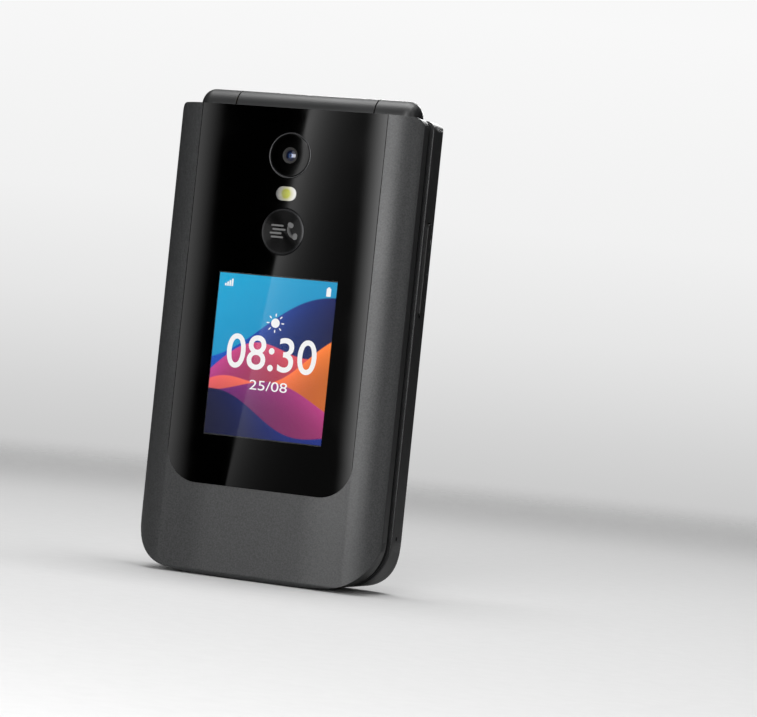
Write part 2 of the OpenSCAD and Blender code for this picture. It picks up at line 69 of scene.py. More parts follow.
# The phone's own sizes
FACE_Y = 9.45
BAND_X = 29.0
TOP_Z = 102.4
KEY_TOP = -0.75
COLUMN, ROW, DIGIT_Z = 16.2, 9.6, 49.4
DIGIT_W, DIGIT_H, KEY_R = 15.0, 8.4, 2.0
SIDE_X, SIDE_W, SIDE_H = 18.0, 13.8, 5.8
SIDE_ROWS = (67.0, 75.0, 83.0)
BACK_Z, BACK_H = 61.4, 5.0
NAV_Z, NAV_R, NAV_HOLE, OK_R = 75.0, 9.4, 4.55, 4.3
CAMERA_Z, FLASH_Z, COVER_KEY_Z, COVER_KEY_R = 92.2, 83.9, 75.7, 5.1
SCREEN_W, SCREEN_H, SCREEN_Z = 28.03, 35.04, 48.3
DISPLAY_FACE_Y = -8.55


# ---------------------------------------------------------------- working with meshes
def deselect():
    bpy.ops.object.select_all(action="DESELECT")


def take(piece):
    deselect()
    piece.select_set(True)
    bpy.context.view_layer.objects.active = piece


def open_edit(piece, mode="FACE"):
    take(piece)
    bpy.ops.object.mode_set(mode="EDIT")
    bpy.ops.mesh.select_mode(type=mode)
    bpy.ops.mesh.select_all(action="DESELECT")


def close_edit():
    bpy.ops.object.mode_set(mode="OBJECT")


def pick_faces(piece, test):
    """Selects the faces whose middle (mm) and normal pass the test."""
    mesh = bmesh.from_edit_mesh(piece.data)
    for face in mesh.faces:
        face.select_set(bool(test(face.calc_center_median() / MM, face.normal)))
    bmesh.update_edit_mesh(piece.data)


def pick_edges(piece, test):
    """Selects the edges whose two ends (mm) pass the test."""
    bpy.ops.mesh.select_mode(type="EDGE")
    mesh = bmesh.from_edit_mesh(piece.data)
    for edge in mesh.edges:
        edge.select_set(bool(test(edge.verts[0].co / MM, edge.verts[1].co / MM)))
    bmesh.update_edit_mesh(piece.data)


def settle(piece, name):
    """Names a new piece and applies its place, so that its object sits at the origin."""
    piece.name = name
    piece.data.name = name
    take(piece)
    bpy.ops.object.transform_apply(location=True, rotation=True, scale=True)
    return piece


def block(name, x0, x1, y0, y1, z0, z1):
    deselect()
    middle = Vector(((x0 + x1) / 2, (y0 + y1) / 2, (z0 + z1) / 2)) * MM
    bpy.ops.mesh.primitive_cube_add(size=1, location=middle)
    piece = bpy.context.object
    piece.scale = Vector((x1 - x0, y1 - y0, z1 - z0)) * MM
    return settle(piece, name)


def circle(name, x, y, z, radius, sides):
    """An open ring of edges that faces the front."""
    deselect()
    bpy.ops.mesh.primitive_circle_add(
        vertices=sides, radius=radius * MM, fill_type="NOTHING",
        location=Vector((x, y, z)) * MM, rotation=(math.pi / 2, 0, 0))
    return settle(bpy.context.object, name)


def turned(name, x, z, steps, sides=96, closed=False):
    """A piece turned round an axis along Y. steps are (radius, y), from the first ring to the last."""
    radius, depth = steps[0]
    piece = circle(name, x, depth, z, radius, sides)
    open_edit(piece, "EDGE")
    bpy.ops.mesh.select_all(action="SELECT")
    if not closed:
        bpy.ops.mesh.edge_face_add()
        bpy.ops.mesh.select_mode(type="EDGE")
    for next_radius, next_depth in steps[1:]:
        bpy.ops.mesh.extrude_edges_move(
            TRANSFORM_OT_translate={"value": (0, (next_depth - depth) * MM, 0)})
        grow = next_radius / radius
        bpy.ops.transform.resize(
            value=(grow, 1, grow), center_override=Vector((x, next_depth, z)) * MM)
        radius, depth = next_radius, next_depth
    if closed:
        bpy.ops.mesh.select_all(action="DESELECT")
        first, last = steps[0], steps[-1]
        pick_edges(piece, lambda a, b: all(
            min(abs(math.hypot(p.x - x, p.z - z) - r) + abs(p.y - y) for r, y in (first, last)) < 0.002
            for p in (a, b)) and abs(a.y - b.y) < 0.001
            and abs(math.hypot(a.x - x, a.z - z) - math.hypot(b.x - x, b.z - z)) < 0.002)
        bpy.ops.mesh.bridge_edge_loops()
    else:
        bpy.ops.mesh.edge_face_add()
    bpy.ops.mesh.select_all(action="SELECT")
    bpy.ops.mesh.normals_make_consistent(inside=False)
    close_edit()
    return smooth(piece)


def smooth(piece, angle=35):
    """Smooth shading in which the broad flat faces stay flat."""
    take(piece)
    bpy.ops.object.shade_smooth_by_angle(angle=math.radians(angle))
    # the weights are lost on faces as small as a phone's are in metres, so it is done in millimetres
    piece.data.transform(Matrix.Scale(1 / MM, 4))
    weights = piece.modifiers.new("weights", "WEIGHTED_NORMAL")
    weights.keep_sharp = True
    bpy.ops.object.modifier_apply(modifier=weights.name)
    piece.data.transform(Matrix.Scale(MM, 4))
    return piece


def soften(piece, width, segments=3, angle=35):
    """Rounds the sharp edges and shades the piece smooth."""
    take(piece)
    bevel = piece.modifiers.new("edges", "BEVEL")
    bevel.width = width * MM
    bevel.segments = segments
    bevel.limit_method = "ANGLE"
    bevel.angle_limit = math.radians(angle)
    bevel.harden_normals = False
    bpy.ops.object.modifier_apply(modifier=bevel.name)
    return smooth(piece, angle)


def copy_of(node, name):
    """A copy of a part's mesh with its loose triangles merged and its flat faces joined."""
    piece = NODES[node].copy()
    piece.data = NODES[node].data.copy()
    piece.name = name
    piece.data.name = name
    piece.parent = None
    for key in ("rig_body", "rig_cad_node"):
        if key in piece:
            del piece[key]
    bpy.context.scene.collection.objects.link(piece)
    take(piece)
    if piece.data.has_custom_normals:
        bpy.ops.mesh.customdata_custom_splitnormals_clear()
    open_edit(piece, "VERT")
    bpy.ops.mesh.select_all(action="SELECT")
    bpy.ops.mesh.remove_doubles(threshold=0.002 * MM)
    bpy.ops.mesh.dissolve_limited(angle_limit=math.radians(0.3))
    close_edit()
    return piece


def twin(piece, name, x=0.0, y=0.0, z=0.0):
    """A copy with its own mesh, moved by x, y and z."""
    other = piece.copy()
    other.data = piece.data.copy()
    other.name = name
    other.data.name = name
    other.data.transform(Matrix.Translation(Vector((x, y, z)) * MM))
    bpy.context.scene.collection.objects.link(other)
    return other


def joined(name, pieces):
    deselect()
    for piece in pieces:
        piece.select_set(True)
    bpy.context.view_layer.objects.active = pieces[0]
    bpy.ops.object.join()
    pieces[0].name = name
    pieces[0].data.name = name
    return pieces[0]


def dress(piece, material, body, slot, *nodes):
    """Gives a finished piece its material, the body that it rides on and the nodes that it stands for."""
    piece.data.materials.clear()
    piece.data.materials.append(material)
    place(piece, body, slot, *nodes)
    return piece


def place(piece, body, slot, *nodes):
    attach(piece, body)
    if nodes:
        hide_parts(*nodes)
    return piece


# ---------------------------------------------------------------- finishes
def socket(group, name, kind, way, value=None):
    made = group.interface.new_socket(name=name, in_out=way, socket_type=kind)
    if value is not None:
        made.default_value = value
    return made


def fine_grain_group():
    """Fine grain of a moulded or sprayed surface: a height and a mask, both from 0 to 1."""
    group = bpy.data.node_groups.new("fine_grain", "ShaderNodeTree")
    socket(group, "Grains per metre", "NodeSocketFloat", "INPUT", 4000.0)
    socket(group, "Mask", "NodeSocketFloat", "OUTPUT")
    socket(group, "Height", "NodeSocketFloat", "OUTPUT")
    node = group.nodes
    start, end = node.new("NodeGroupInput"), node.new("NodeGroupOutput")
    where = node.new("ShaderNodeTexCoord")
    grain = node.new("ShaderNodeTexNoise")
    grain.inputs["Detail"].default_value = 3.0
    grain.inputs["Roughness"].default_value = 0.6
    spread = node.new("ShaderNodeMapRange")
    spread.inputs["From Min"].default_value = 0.3
    spread.inputs["From Max"].default_value = 0.7
    link = group.links.new
    link(where.outputs["Object"], grain.inputs["Vector"])
    link(start.outputs["Grains per metre"], grain.inputs["Scale"])
    link(grain.outputs["Fac"], spread.inputs["Value"])
    link(spread.outputs["Result"], end.inputs["Mask"])
    link(grain.outputs["Fac"], end.inputs["Height"])
    return group


def handling_group():
    """Faint haze where hands touch the phone: broad cloudy patches with finer streaks."""
    group = bpy.data.node_groups.new("handling_haze", "ShaderNodeTree")
    socket(group, "Patches per metre", "NodeSocketFloat", "INPUT", 60.0)
    socket(group, "Low", "NodeSocketFloat", "INPUT", 0.4)
    socket(group, "High", "NodeSocketFloat", "INPUT", 0.5)
    socket(group, "Roughness", "NodeSocketFloat", "OUTPUT")
    node = group.nodes
    start, end = node.new("NodeGroupInput"), node.new("NodeGroupOutput")
    where = node.new("ShaderNodeTexCoord")
    cloud = node.new("ShaderNodeTexNoise")
    cloud.inputs["Detail"].default_value = 4.0
    cloud.inputs["Distortion"].default_value = 0.4
    spread = node.new("ShaderNodeMapRange")
    spread.inputs["From Min"].default_value = 0.3
    spread.inputs["From Max"].default_value = 0.7
    link = group.links.new
    link(where.outputs["Object"], cloud.inputs["Vector"])
    link(start.outputs["Patches per metre"], cloud.inputs["Scale"])
    link(cloud.outputs["Fac"], spread.inputs["Value"])
    link(start.outputs["Low"], spread.inputs["To Min"])
    link(start.outputs["High"], spread.inputs["To Max"])
    link(spread.outputs["Result"], end.inputs["Roughness"])
    return group


FINE_GRAIN = fine_grain_group()
HANDLING = handling_group()


class Finish:
    """A material under construction: its shader, and a way to add and join nodes."""

    def __init__(self, name, metallic=0.0, roughness=0.5, **sockets):
        self.material = bpy.data.materials.new(name)
        self.material.use_nodes = True
        self.tree = self.material.node_tree
        self.shader = self.tree.nodes["Principled BSDF"]
        self.shader.inputs["Metallic"].default_value = metallic
        self.shader.inputs["Roughness"].default_value = roughness
        for label, value in sockets.items():
            self.shader.inputs[label.replace("_", " ")].default_value = value

    def add(self, kind, **inputs):
        made = self.tree.nodes.new(kind)
        for label, value in inputs.items():
            made.inputs[label.replace("_", " ")].default_value = value
        return made

    def group(self, tree, **inputs):
        made = self.tree.nodes.new("ShaderNodeGroup")
        made.node_tree = tree
        for label, value in inputs.items():
            made.inputs[label.replace("_", " ")].default_value = value
        return made

    def join(self, output, target):
        self.tree.links.new(output, target)

    def where(self):
        return self.tree.nodes.new("ShaderNodeTexCoord").outputs["Object"]

    def tones(self, mask, dark, light):
        """Colours that run from dark to light along a mask."""
        ramp = self.tree.nodes.new("ShaderNodeValToRGB")
        ramp.color_ramp.elements[0].color = (*dark, 1)
        ramp.color_ramp.elements[1].color = (*light, 1)
        self.join(mask, ramp.inputs["Fac"])
        return ramp.outputs["Color"]

    def grain(self, size, dark, light, depth, low, high, patches=60.0):
        """Grain of that size (mm) in two tones, with a bump of that depth (mm), and hazed roughness."""
        grain = self.group(FINE_GRAIN, Grains_per_metre=1 / (size * MM))
        self.join(self.tones(grain.outputs["Mask"], dark, light), self.shader.inputs["Base Color"])
        bump = self.add("ShaderNodeBump", Strength=1.0, Distance=depth * MM)
        self.join(grain.outputs["Height"], bump.inputs["Height"])
        self.join(bump.outputs["Normal"], self.shader.inputs["Normal"])
        haze = self.group(HANDLING, Patches_per_metre=patches, Low=low, High=high)
        self.join(haze.outputs["Roughness"], self.shader.inputs["Roughness"])
        return self.material


def grey(level, tint=0.0):
    return (level * (1 - tint), level, level * (1 + tint))


def soft_touch_paint():
    """Soft grey paint on a shell whose face falls away gently towards its round sides."""
    finish = Finish("soft_touch_grey", Specular_IOR_Level=0.5)
    finish.grain(0.34, grey(0.021, 0.02), grey(0.053, 0.02), 0.006, 0.4, 0.46)
    grain_bump = next(node for node in finish.tree.nodes if node.bl_idname == "ShaderNodeBump")
    where = finish.add("ShaderNodeSeparateXYZ")
    finish.join(finish.where(), where.inputs["Vector"])
    aside = finish.add("ShaderNodeMath")
    aside.operation = "ABSOLUTE"
    finish.join(where.outputs["X"], aside.inputs[0])
    fall = finish.add("ShaderNodeMapRange")
    fall.interpolation_type = "SMOOTHSTEP"
    for label, number in (("From Min", 0.011), ("From Max", 0.026), ("To Min", 1.0), ("To Max", 0.0)):
        fall.inputs[label].default_value = number
    finish.join(aside.outputs["Value"], fall.inputs["Value"])
    crown = finish.add("ShaderNodeBump", Strength=1.0, Distance=1.0 * MM)
    finish.join(fall.outputs["Result"], crown.inputs["Height"])
    finish.join(crown.outputs["Normal"], grain_bump.inputs["Normal"])
    return finish.material


def band_plastic(name, level):
    return Finish(name).grain(0.3, grey(level * 0.92, 0.02), grey(level * 1.1, 0.02), 0.002, 0.32, 0.4)


def black_gloss(name):
    return Finish(name).grain(2.0, grey(0.0004), grey(0.0007), 0.0, 0.015, 0.04)


def clear_glass(name):
    finish = Finish(name, IOR=1.45, Transmission_Weight=1.0)
    return finish.grain(3.0, grey(0.98), grey(1.0), 0.0, 0.005, 0.02)


def moulded(name, level, size=0.25, low=0.42, high=0.55, tint=0.0):
    return Finish(name).grain(size, grey(level * 0.85, tint), grey(level * 1.15, tint), 0.003, low, high)


def plated(name, colour, low=0.2, high=0.32):
    dark = tuple(c * 0.9 for c in colour)
    return Finish(name, metallic=1.0).grain(0.4, dark, colour, 0.001, low, high)


def painted_mark(name, level):
    return Finish(name).grain(0.3, grey(level * 0.94), grey(level), 0.0, 0.45, 0.55)


SHELL = soft_touch_paint()
LID_BAND = band_plastic("lid_band_plastic", 0.026)
BARREL = band_plastic("hinge_barrel_plastic", 0.018)
BASE_BAND = band_plastic("base_band_plastic", 0.024)
GLASS_PRINT = black_gloss("black_printed_glass")
GLASS_CLEAR = clear_glass("clear_glass")
REAR_GLOSS = black_gloss("black_rear_panel")
INNER_BLACK = moulded("inner_black_plastic", 0.012)
KEY_PLASTIC = moulded("key_plastic", 0.018, low=0.3, high=0.4)
KEY_MARK = painted_mark("key_mark_white", 0.8)
SEND_MARK = Finish("send_mark_green").grain(0.3, (0.02, 0.45, 0.08), (0.03, 0.5, 0.1), 0.0, 0.45, 0.55)
END_MARK = Finish("end_mark_red").grain(0.3, (0.6, 0.02, 0.02), (0.68, 0.03, 0.03), 0.0, 0.45, 0.55)
RING_METAL = plated("dark_ring_metal", (0.06, 0.06, 0.062), 0.16, 0.24)
NAV_METAL = plated("satin_nav_ring", (0.12, 0.12, 0.125), 0.28, 0.38)
STEEL = plated("bright_steel", (0.6, 0.6, 0.62))
GOLD = plated("gold_contact", (0.85, 0.62, 0.28))
RUBBER = moulded("black_rubber", 0.012, 0.4, 0.6, 0.75)
BOARD = Finish("green_board").grain(0.6, (0.01, 0.09, 0.04), (0.015, 0.13, 0.06), 0.002, 0.3, 0.42)
WRAP = moulded("battery_wrap", 0.03, 0.5, 0.3, 0.4)
FLEX = Finish("amber_flex").grain(0.5, (0.5, 0.22, 0.03), (0.6, 0.28, 0.05), 0.0, 0.3, 0.4)
PORT_STEEL = plated("port_steel", (0.45, 0.45, 0.47))
ICON_GREY = painted_mark("icon_grey", 0.11)
LENS_BLACK = moulded("lens_barrel_black", 0.004, 0.3, 0.5, 0.6, -0.2)


def give_cad_materials():
    """Every node that still shows itself gets its own finish."""
    plain = {
        "shell_grey": SHELL, "frame_dark": LID_BAND, "cover_glass": GLASS_PRINT, "gloss_black": REAR_GLOSS,
        "ring_metal": RING_METAL, "lens_dark": INNER_BLACK, "flash_white": KEY_MARK, "display": INNER_BLACK,
        "spun_black": INNER_BLACK, "keypad_black": BASE_BAND, "key_dark": KEY_PLASTIC,
        "nav_metal": NAV_METAL, "board_green": BOARD, "steel": STEEL, "gold_contact": GOLD,
        "rubber_black": RUBBER, "battery_wrap": WRAP, "flex_amber": FLEX}
    for name, node in NODES.items():
        slot = node.data.materials[0].name.split(".")[0] if node.data.materials else ""
        material = plain.get(slot, INNER_BLACK)
        node.data.materials.clear()
        node.data.materials.append(material)


# ---------------------------------------------------------------- shells
HINGE_Y, BARREL_R = -0.7, 3.9
SEAM_Y = -5.4
WINDOW_X, WINDOW_Z0, WINDOW_Z1 = 14.3, 30.5, 66.1
BASE_EDGE_Y = 0.1
CORNER_X, CORNER_Z, CORNER_R = 18.0, 11.3, 10.7


def second_finish(piece, material, test):
    """Gives the faces that pass the test a second material."""
    piece.data.materials.append(material)
    for face in piece.data.polygons:
        if test(face.center / MM, face.normal):
            face.material_index = 1


def on_barrel(p, normal):
    return math.hypot(p.y - HINGE_Y, p.z - TOP_Z) < BARREL_R + 0.05 and p.z > TOP_Z - BARREL_R - 0.05


def on_outline(p):
    """True on the phone's outer wall, round its bottom corners too."""
    x = abs(p.x)
    if p.z > CORNER_Z + 0.2:
        return x > BAND_X - 0.1
    if x > CORNER_X:
        return math.hypot(x - CORNER_X, p.z - CORNER_Z) > CORNER_R
    return p.z < 0.8


def catch_light(piece, y, width):
    """A wider rounding along one outer edge, which shows as a thin bright line."""
    open_edit(piece, "EDGE")
    pick_edges(piece, lambda a, b: abs(a.y - y) < 0.02 and abs(b.y - y) < 0.02
               and on_outline(a) and on_outline(b))
    bpy.ops.mesh.bevel(offset=width * MM, segments=3, affect="EDGES", clamp_overlap=False)
    close_edit()
    return piece


def dress_shells():
    for node, material, body, slot, width in (
            ("lid_front", SHELL, "lid", "shell_grey", 0.14),
            ("lid_frame", LID_BAND, "lid", "frame_dark", 0.14),
            ("base_front", BASE_BAND, "base", "keypad_black", 0.12),
            ("battery_cover", SHELL, "battery_cover", "shell_grey", 0.14),
            ("rear_panel", REAR_GLOSS, "base", "gloss_black", 0.12)):
        piece = copy_of(node, node + "_shell")
        if node == "lid_frame":
            catch_light(piece, SEAM_Y, 0.3)
        if node == "base_front":
            catch_light(piece, BASE_EDGE_Y, 0.25)
        soften(piece, width)
        dress(piece, material, body, slot, node)
        if node in ("lid_frame", "base_front"):
            second_finish(piece, BARREL, on_barrel)
    for node, material, body, slot, width in (
            ("volume_key", KEY_PLASTIC, "volume_key", "key_dark", 0.1),
            ("headphone_jack", INNER_BLACK, "base", "rubber_black", 0.05),
            ("usb_port", PORT_STEEL, "base", "steel", 0.06),
            ("lid_bumpers", RUBBER, "lid", "rubber_black", 0.12)):
        piece = soften(copy_of(node, node + "_finished"), width)
        dress(piece, material, body, slot, node)


def in_window(p, normal):
    return abs(p.x) < WINDOW_X and WINDOW_Z0 < p.z < WINDOW_Z1 and abs(normal.y) > 0.9


def glaze_cover():
    """The cover glass: printed black behind, clear over the display."""
    glass = copy_of("cover_glass", "cover_glass_pane")
    open_edit(glass)
    for point, across in (((WINDOW_X, 0, 0), (1, 0, 0)), ((-WINDOW_X, 0, 0), (1, 0, 0)),
                          ((0, 0, WINDOW_Z0), (0, 0, 1)), ((0, 0, WINDOW_Z1), (0, 0, 1))):
        bpy.ops.mesh.select_all(action="SELECT")
        bpy.ops.mesh.bisect(plane_co=Vector(point) * MM, plane_no=across)
    close_edit()
    soften(glass, 0.12, 4)
    dress(glass, GLASS_PRINT, "lid", "cover_glass", "cover_glass")
    second_finish(glass, GLASS_CLEAR, in_window)


# ---------------------------------------------------------------- displays
def glow(name, strength=1.0):
    finish = Finish(name, Specular_IOR_Level=0.0)
    finish.shader.inputs["Base Color"].default_value = (0, 0, 0, 1)
    finish.shader.inputs["Emission Strength"].default_value = strength
    return finish


def maths(finish, how, first, second=None, third=None):
    """One sum on numbers or on other nodes' values."""
    node = finish.tree.nodes.new("ShaderNodeMath")
    node.operation = how
    for i, value in enumerate((first, second, third)):
        if value is None:
            continue
        if isinstance(value, (int, float)):
            node.inputs[i].default_value = value
        else:
            finish.join(value, node.inputs[i])
    return node.outputs["Value"]


def wave_screen(name, middle_z, width, height, up=1):
    """A lit screen: a sky that runs from cyan to blue, with waves in pink, orange, purple and navy."""
    finish = glow(name)
    where = finish.add("ShaderNodeSeparateXYZ")
    finish.join(finish.where(), where.inputs["Vector"])
    x = maths(finish, "MULTIPLY", where.outputs["X"], 2 / (width * MM))
    above = maths(finish, "SUBTRACT", where.outputs["Z"], middle_z * MM)
    z = maths(finish, "MULTIPLY", above, up * 2 / (height * MM))
    rise = maths(finish, "SUBTRACT", z, maths(finish, "MULTIPLY", x, 0.5))
    slant = maths(finish, "MULTIPLY_ADD", rise, 0.33, 0.5)
    colour = finish.tones(slant, (0.003, 0.13, 0.36), (0.004, 0.4, 0.7))
    waves = (  # height, swing, waves across, shift, slope, colours left and right
        (0.42, 0.16, 2.1, 0.4, 0.3, (0.004, 0.08, 0.5), (0.001, 0.006, 0.09)),
        (0.06, 0.20, 2.6, 2.6, 0.25, (0.5, 0.05, 0.26), (0.75, 0.08, 0.03)),
        (-0.16, 0.15, 3.0, 4.4, 0.3, (0.8, 0.11, 0.12), (0.97, 0.22, 0.03)),
        (-0.42, 0.14, 2.4, 1.2, -0.1, (0.08, 0.012, 0.14), (0.45, 0.04, 0.2)),
        (-0.72, 0.12, 2.8, 3.6, -0.2, (0.001, 0.003, 0.04), (0.004, 0.02, 0.2)))
    along = maths(finish, "MULTIPLY_ADD", x, 0.5, 0.5)
    for level, swing, count, shift, slope, left, right in waves:
        swell = maths(finish, "SINE", maths(finish, "MULTIPLY_ADD", x, count, shift))
        height_of_swell = maths(finish, "MULTIPLY_ADD", swell, swing, level)
        crest = maths(finish, "ADD", height_of_swell, maths(finish, "MULTIPLY", x, slope))
        below = maths(finish, "SUBTRACT", crest, z)
        mask = finish.add("ShaderNodeMapRange")
        mask.inputs["From Max"].default_value = 0.015
        finish.join(below, mask.inputs["Value"])
        shade = finish.tones(along, left, right)
        near_crest = maths(finish, "SUBTRACT", 1.0, maths(finish, "MULTIPLY", below, 1.8))
        sheen = maths(finish, "POWER", maths(finish, "MAXIMUM", near_crest, 0.0), 2.0)
        light = maths(finish, "MULTIPLY_ADD", sheen, 0.55, 0.6)
        lit = finish.tree.nodes.new("ShaderNodeMix")
        lit.data_type = "RGBA"
        lit.blend_type = "MULTIPLY"
        lit.inputs[0].default_value = 1.0
        finish.join(shade, lit.inputs[6])
        finish.join(light, lit.inputs[7])
        mix = finish.tree.nodes.new("ShaderNodeMix")
        mix.data_type = "RGBA"
        finish.join(mask.outputs["Result"], mix.inputs[0])
        finish.join(colour, mix.inputs[6])
        finish.join(lit.outputs[2], mix.inputs[7])
        colour = mix.outputs[2]
    finish.join(colour, finish.shader.inputs["Emission Color"])
    return finish.material


def lit_mark(name, level):
    """A lit numeral or sign, with the faint unevenness of its backlight."""
    finish = glow(name)
    haze = finish.group(HANDLING, Patches_per_metre=400.0, Low=level * 0.96, High=level)
    tone = finish.add("ShaderNodeCombineColor")
    for part in ("Red", "Green", "Blue"):
        finish.join(haze.outputs["Roughness"], tone.inputs[part])
    finish.join(tone.outputs["Color"], finish.shader.inputs["Emission Color"])
    return finish.material


def lettering(name, text, x, y, z, height, width=None, depth=0.02, weight=0.0):
    """A word or number as a thin plate that faces the front, its middle at x and z and its face at y."""
    deselect()
    bpy.ops.object.text_add()
    piece = bpy.context.object
    piece.data.body = text
    piece.data.resolution_u = 6
    piece.data.extrude = 0.01
    piece.data.offset = weight
    bpy.ops.object.convert(target="MESH")
    piece = bpy.context.object
    low = [min(v.co[i] for v in piece.data.vertices) for i in range(3)]
    high = [max(v.co[i] for v in piece.data.vertices) for i in range(3)]
    grow_z = height / (high[1] - low[1])
    grow_x = width / (high[0] - low[0]) if width else grow_z
    grow_y = depth / (high[2] - low[2])
    move = Matrix.Translation(-(Vector(low) + Vector(high)) / 2)
    size = Matrix.Diagonal((grow_x, grow_z, grow_y, 1))
    turn = Matrix.Rotation(math.pi / 2, 4, "X")
    place_at = Matrix.Translation(Vector((x, y + depth / 2, z)) * MM)
    piece.data.transform(place_at @ Matrix.Scale(MM, 4) @ turn @ size @ move)
    piece.name = name
    piece.data.name = name
    open_edit(piece, "VERT")
    bpy.ops.mesh.select_all(action="SELECT")
    bpy.ops.mesh.remove_doubles(threshold=0.0005 * MM)
    bpy.ops.mesh.normals_make_consistent(inside=False)
    close_edit()
    return piece


def bar(name, x, y, z, width, height, depth=0.02, lean=0.0, rounding=0.49):
    """A thin bar with round ends that faces the front."""
    piece = block(name, x - width / 2, x + width / 2, y, y + depth, z - height / 2, z + height / 2)
    open_edit(piece, "EDGE")
    pick_edges(piece, lambda a, b: abs(a.y - b.y) > depth * 0.9)
    bpy.ops.mesh.bevel(offset=min(width, height) * rounding * MM, segments=5, affect="EDGES")
    close_edit()
    return spun_about(piece, x, z, lean)


def ring_mark(name, x, y, z, outer, inner, depth=0.02, sides=40):
    """A thin flat ring that faces the front, or a disc where inner is nothing."""
    start = inner if inner else outer * 0.6
    steps = ((start, y), (outer, y), (outer, y + depth), (start, y + depth))
    return turned(name, x, z, steps, sides, bool(inner))


def spun_about(piece, x, z, angle):
    """Turns a finished mesh from +X towards +Z about a point of the face."""
    spot = Vector((x, 0, z)) * MM
    turn = Matrix.Rotation(-angle, 4, "Y")
    piece.data.transform(Matrix.Translation(spot) @ turn @ Matrix.Translation(-spot))
    return piece


def handset(name, x, y, z, size, start, depth=0.02):
    """A telephone handset: a bent grip round x and z from the start angle, with a cup at each end."""
    sweep = math.radians(100)
    pieces = []
    for i in range(15):
        grip = block("%s_%d" % (name, i), x + size * 0.34, x + size * 0.52, y, y + depth,
                     z - size * 0.04, z + size * 0.04)
        pieces.append(spun_about(grip, x, z, start + sweep * i / 14))
    for i, angle in enumerate((-0.1, sweep + 0.1)):
        cup = bar("%s_cup%d" % (name, i), x + size * 0.39, y - 0.001, z, size * 0.34, size * 0.25, depth)
        pieces.append(spun_about(cup, x, z, start + angle))
    return joined(name, pieces)


def status_marks(name, x, y, z, step):
    """Bars of signal on the left and a battery on the right."""
    marks = [bar(name, x[0] + i * step * 0.48, y, z + i * step * 0.16, step * 0.34,
                 step * (0.5 + i * 0.32), 0.02, 0, 0.1) for i in range(4)]
    marks.append(bar(name + "_cell", x[1], y, z + step * 0.2, step * 0.95, step * 1.6, 0.02, 0, 0.14))
    marks.append(bar(name + "_tip", x[1], y, z + step * 1.08, step * 0.45, step * 0.3, 0.02, 0, 0.1))
    return joined(name, marks)


def sun_mark(name, x, y, z, size):
    marks = [ring_mark(name, x, y, z, size * 0.24, 0.0)]
    for i in range(8):
        angle = i * math.pi / 4
        out_x, out_z = math.cos(angle) * size * 0.42, math.sin(angle) * size * 0.42
        marks.append(bar(name + "_ray%d" % i, x + out_x, y, z + out_z,
                         size * 0.16, size * 0.06, 0.02, angle))
    return joined(name, marks)


def build_outer_display():
    y = DISPLAY_FACE_Y
    panel = block("outer_display_panel", -15.5, 15.5, y, -6.9, 27.2, 68.2)
    open_edit(panel)
    pick_faces(panel, lambda p, n: n.y < -0.9)
    bpy.ops.mesh.inset(thickness=0.8 * MM)
    close_edit()
    soften(panel, 0.05)
    dress(panel, INNER_BLACK, "lid", "display", "outer_display")
    picture = block("outer_screen_picture", -SCREEN_W / 2, SCREEN_W / 2, y - 0.02, y + 0.01,
                    SCREEN_Z - SCREEN_H / 2, SCREEN_Z + SCREEN_H / 2)
    soften(picture, 0.004, 1)
    dress(picture, wave_screen("outer_screen_waves", SCREEN_Z, SCREEN_W, SCREEN_H), "lid", "display")
    white = lit_mark("screen_white", 0.95)
    top = y - 0.045
    for piece in (
            lettering("outer_clock", "08:30", 0.2, top, SCREEN_Z + 0.9, 7.5, 21.4, 0.02, 0.007),
            lettering("outer_date", "25/08", 0.2, top, SCREEN_Z - 6.1, 2.1, 9.0),
            sun_mark("outer_sun", 0.4, top, SCREEN_Z + 7.6, 4.2),
            status_marks("outer_status", (-12.4, 12.2), top, SCREEN_Z + 15.0, 1.1)):
        dress(piece, white, "lid", "display")


def build_main_display():
    low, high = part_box("main_display")
    low, high = low / MM, high / MM
    middle_z = (low.z + high.z) / 2
    y = high.y
    panel = block("main_display_panel", low.x, high.x, low.y, y - 0.06, low.z, high.z)
    open_edit(panel)
    pick_faces(panel, lambda p, n: n.y > 0.9)
    bpy.ops.mesh.inset(thickness=0.7 * MM)
    close_edit()
    soften(panel, 0.05)
    dress(panel, INNER_BLACK, "lid", "display", "main_display")
    width, height = high.x - low.x - 2.6, high.z - low.z - 2.6
    picture = block("main_screen_picture", -width / 2, width / 2, y - 0.07, y - 0.04,
                    middle_z - height / 2, middle_z + height / 2)
    soften(picture, 0.004, 1)
    dress(picture, wave_screen("main_screen_waves", middle_z, width, height, -1), "lid", "display")


def inner_marks():
    """Clock and icons of the main display, which are upright when the lid is open."""
    low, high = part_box("main_display")
    middle_z = (low.z + high.z) / 2 / MM
    y = high.y / MM - 0.02
    white = lit_mark("main_screen_white", 0.95)
    marks = [lettering("main_clock", "08:30", 0, 0, 15, 8.5, 26, 0.02, 0.008),
             lettering("main_date", "25/08", 0, 0, 7, 2.6, 10),
             status_marks("main_status", (-20, 20), 0, 30.5, 1.3)]
    marks += [ring_mark("main_dot%d" % i, (i - 1) * 12.0, 0, -26.0, 3.6, 3.15) for i in range(3)]
    marks.append(handset("main_call", 0.9, 0, -25.2, 4.4, math.radians(175)))
    marks.append(sun_mark("main_sun", -12, 0, -26, 4.4))
    marks += [bar("main_note%d" % i, 12, 0, -26 + (i - 1) * 1.2, 3.2 - i * 0.5, 0.45) for i in range(3)]
    piece = joined("main_screen_marks", marks)
    # turned half round about X, so that they face the keypad and stand upright on the open lid
    piece.data.transform(Matrix.Translation(Vector((0, y, middle_z)) * MM) @ Matrix.Rotation(math.pi, 4, "X"))
    dress(piece, white, "lid", "display")


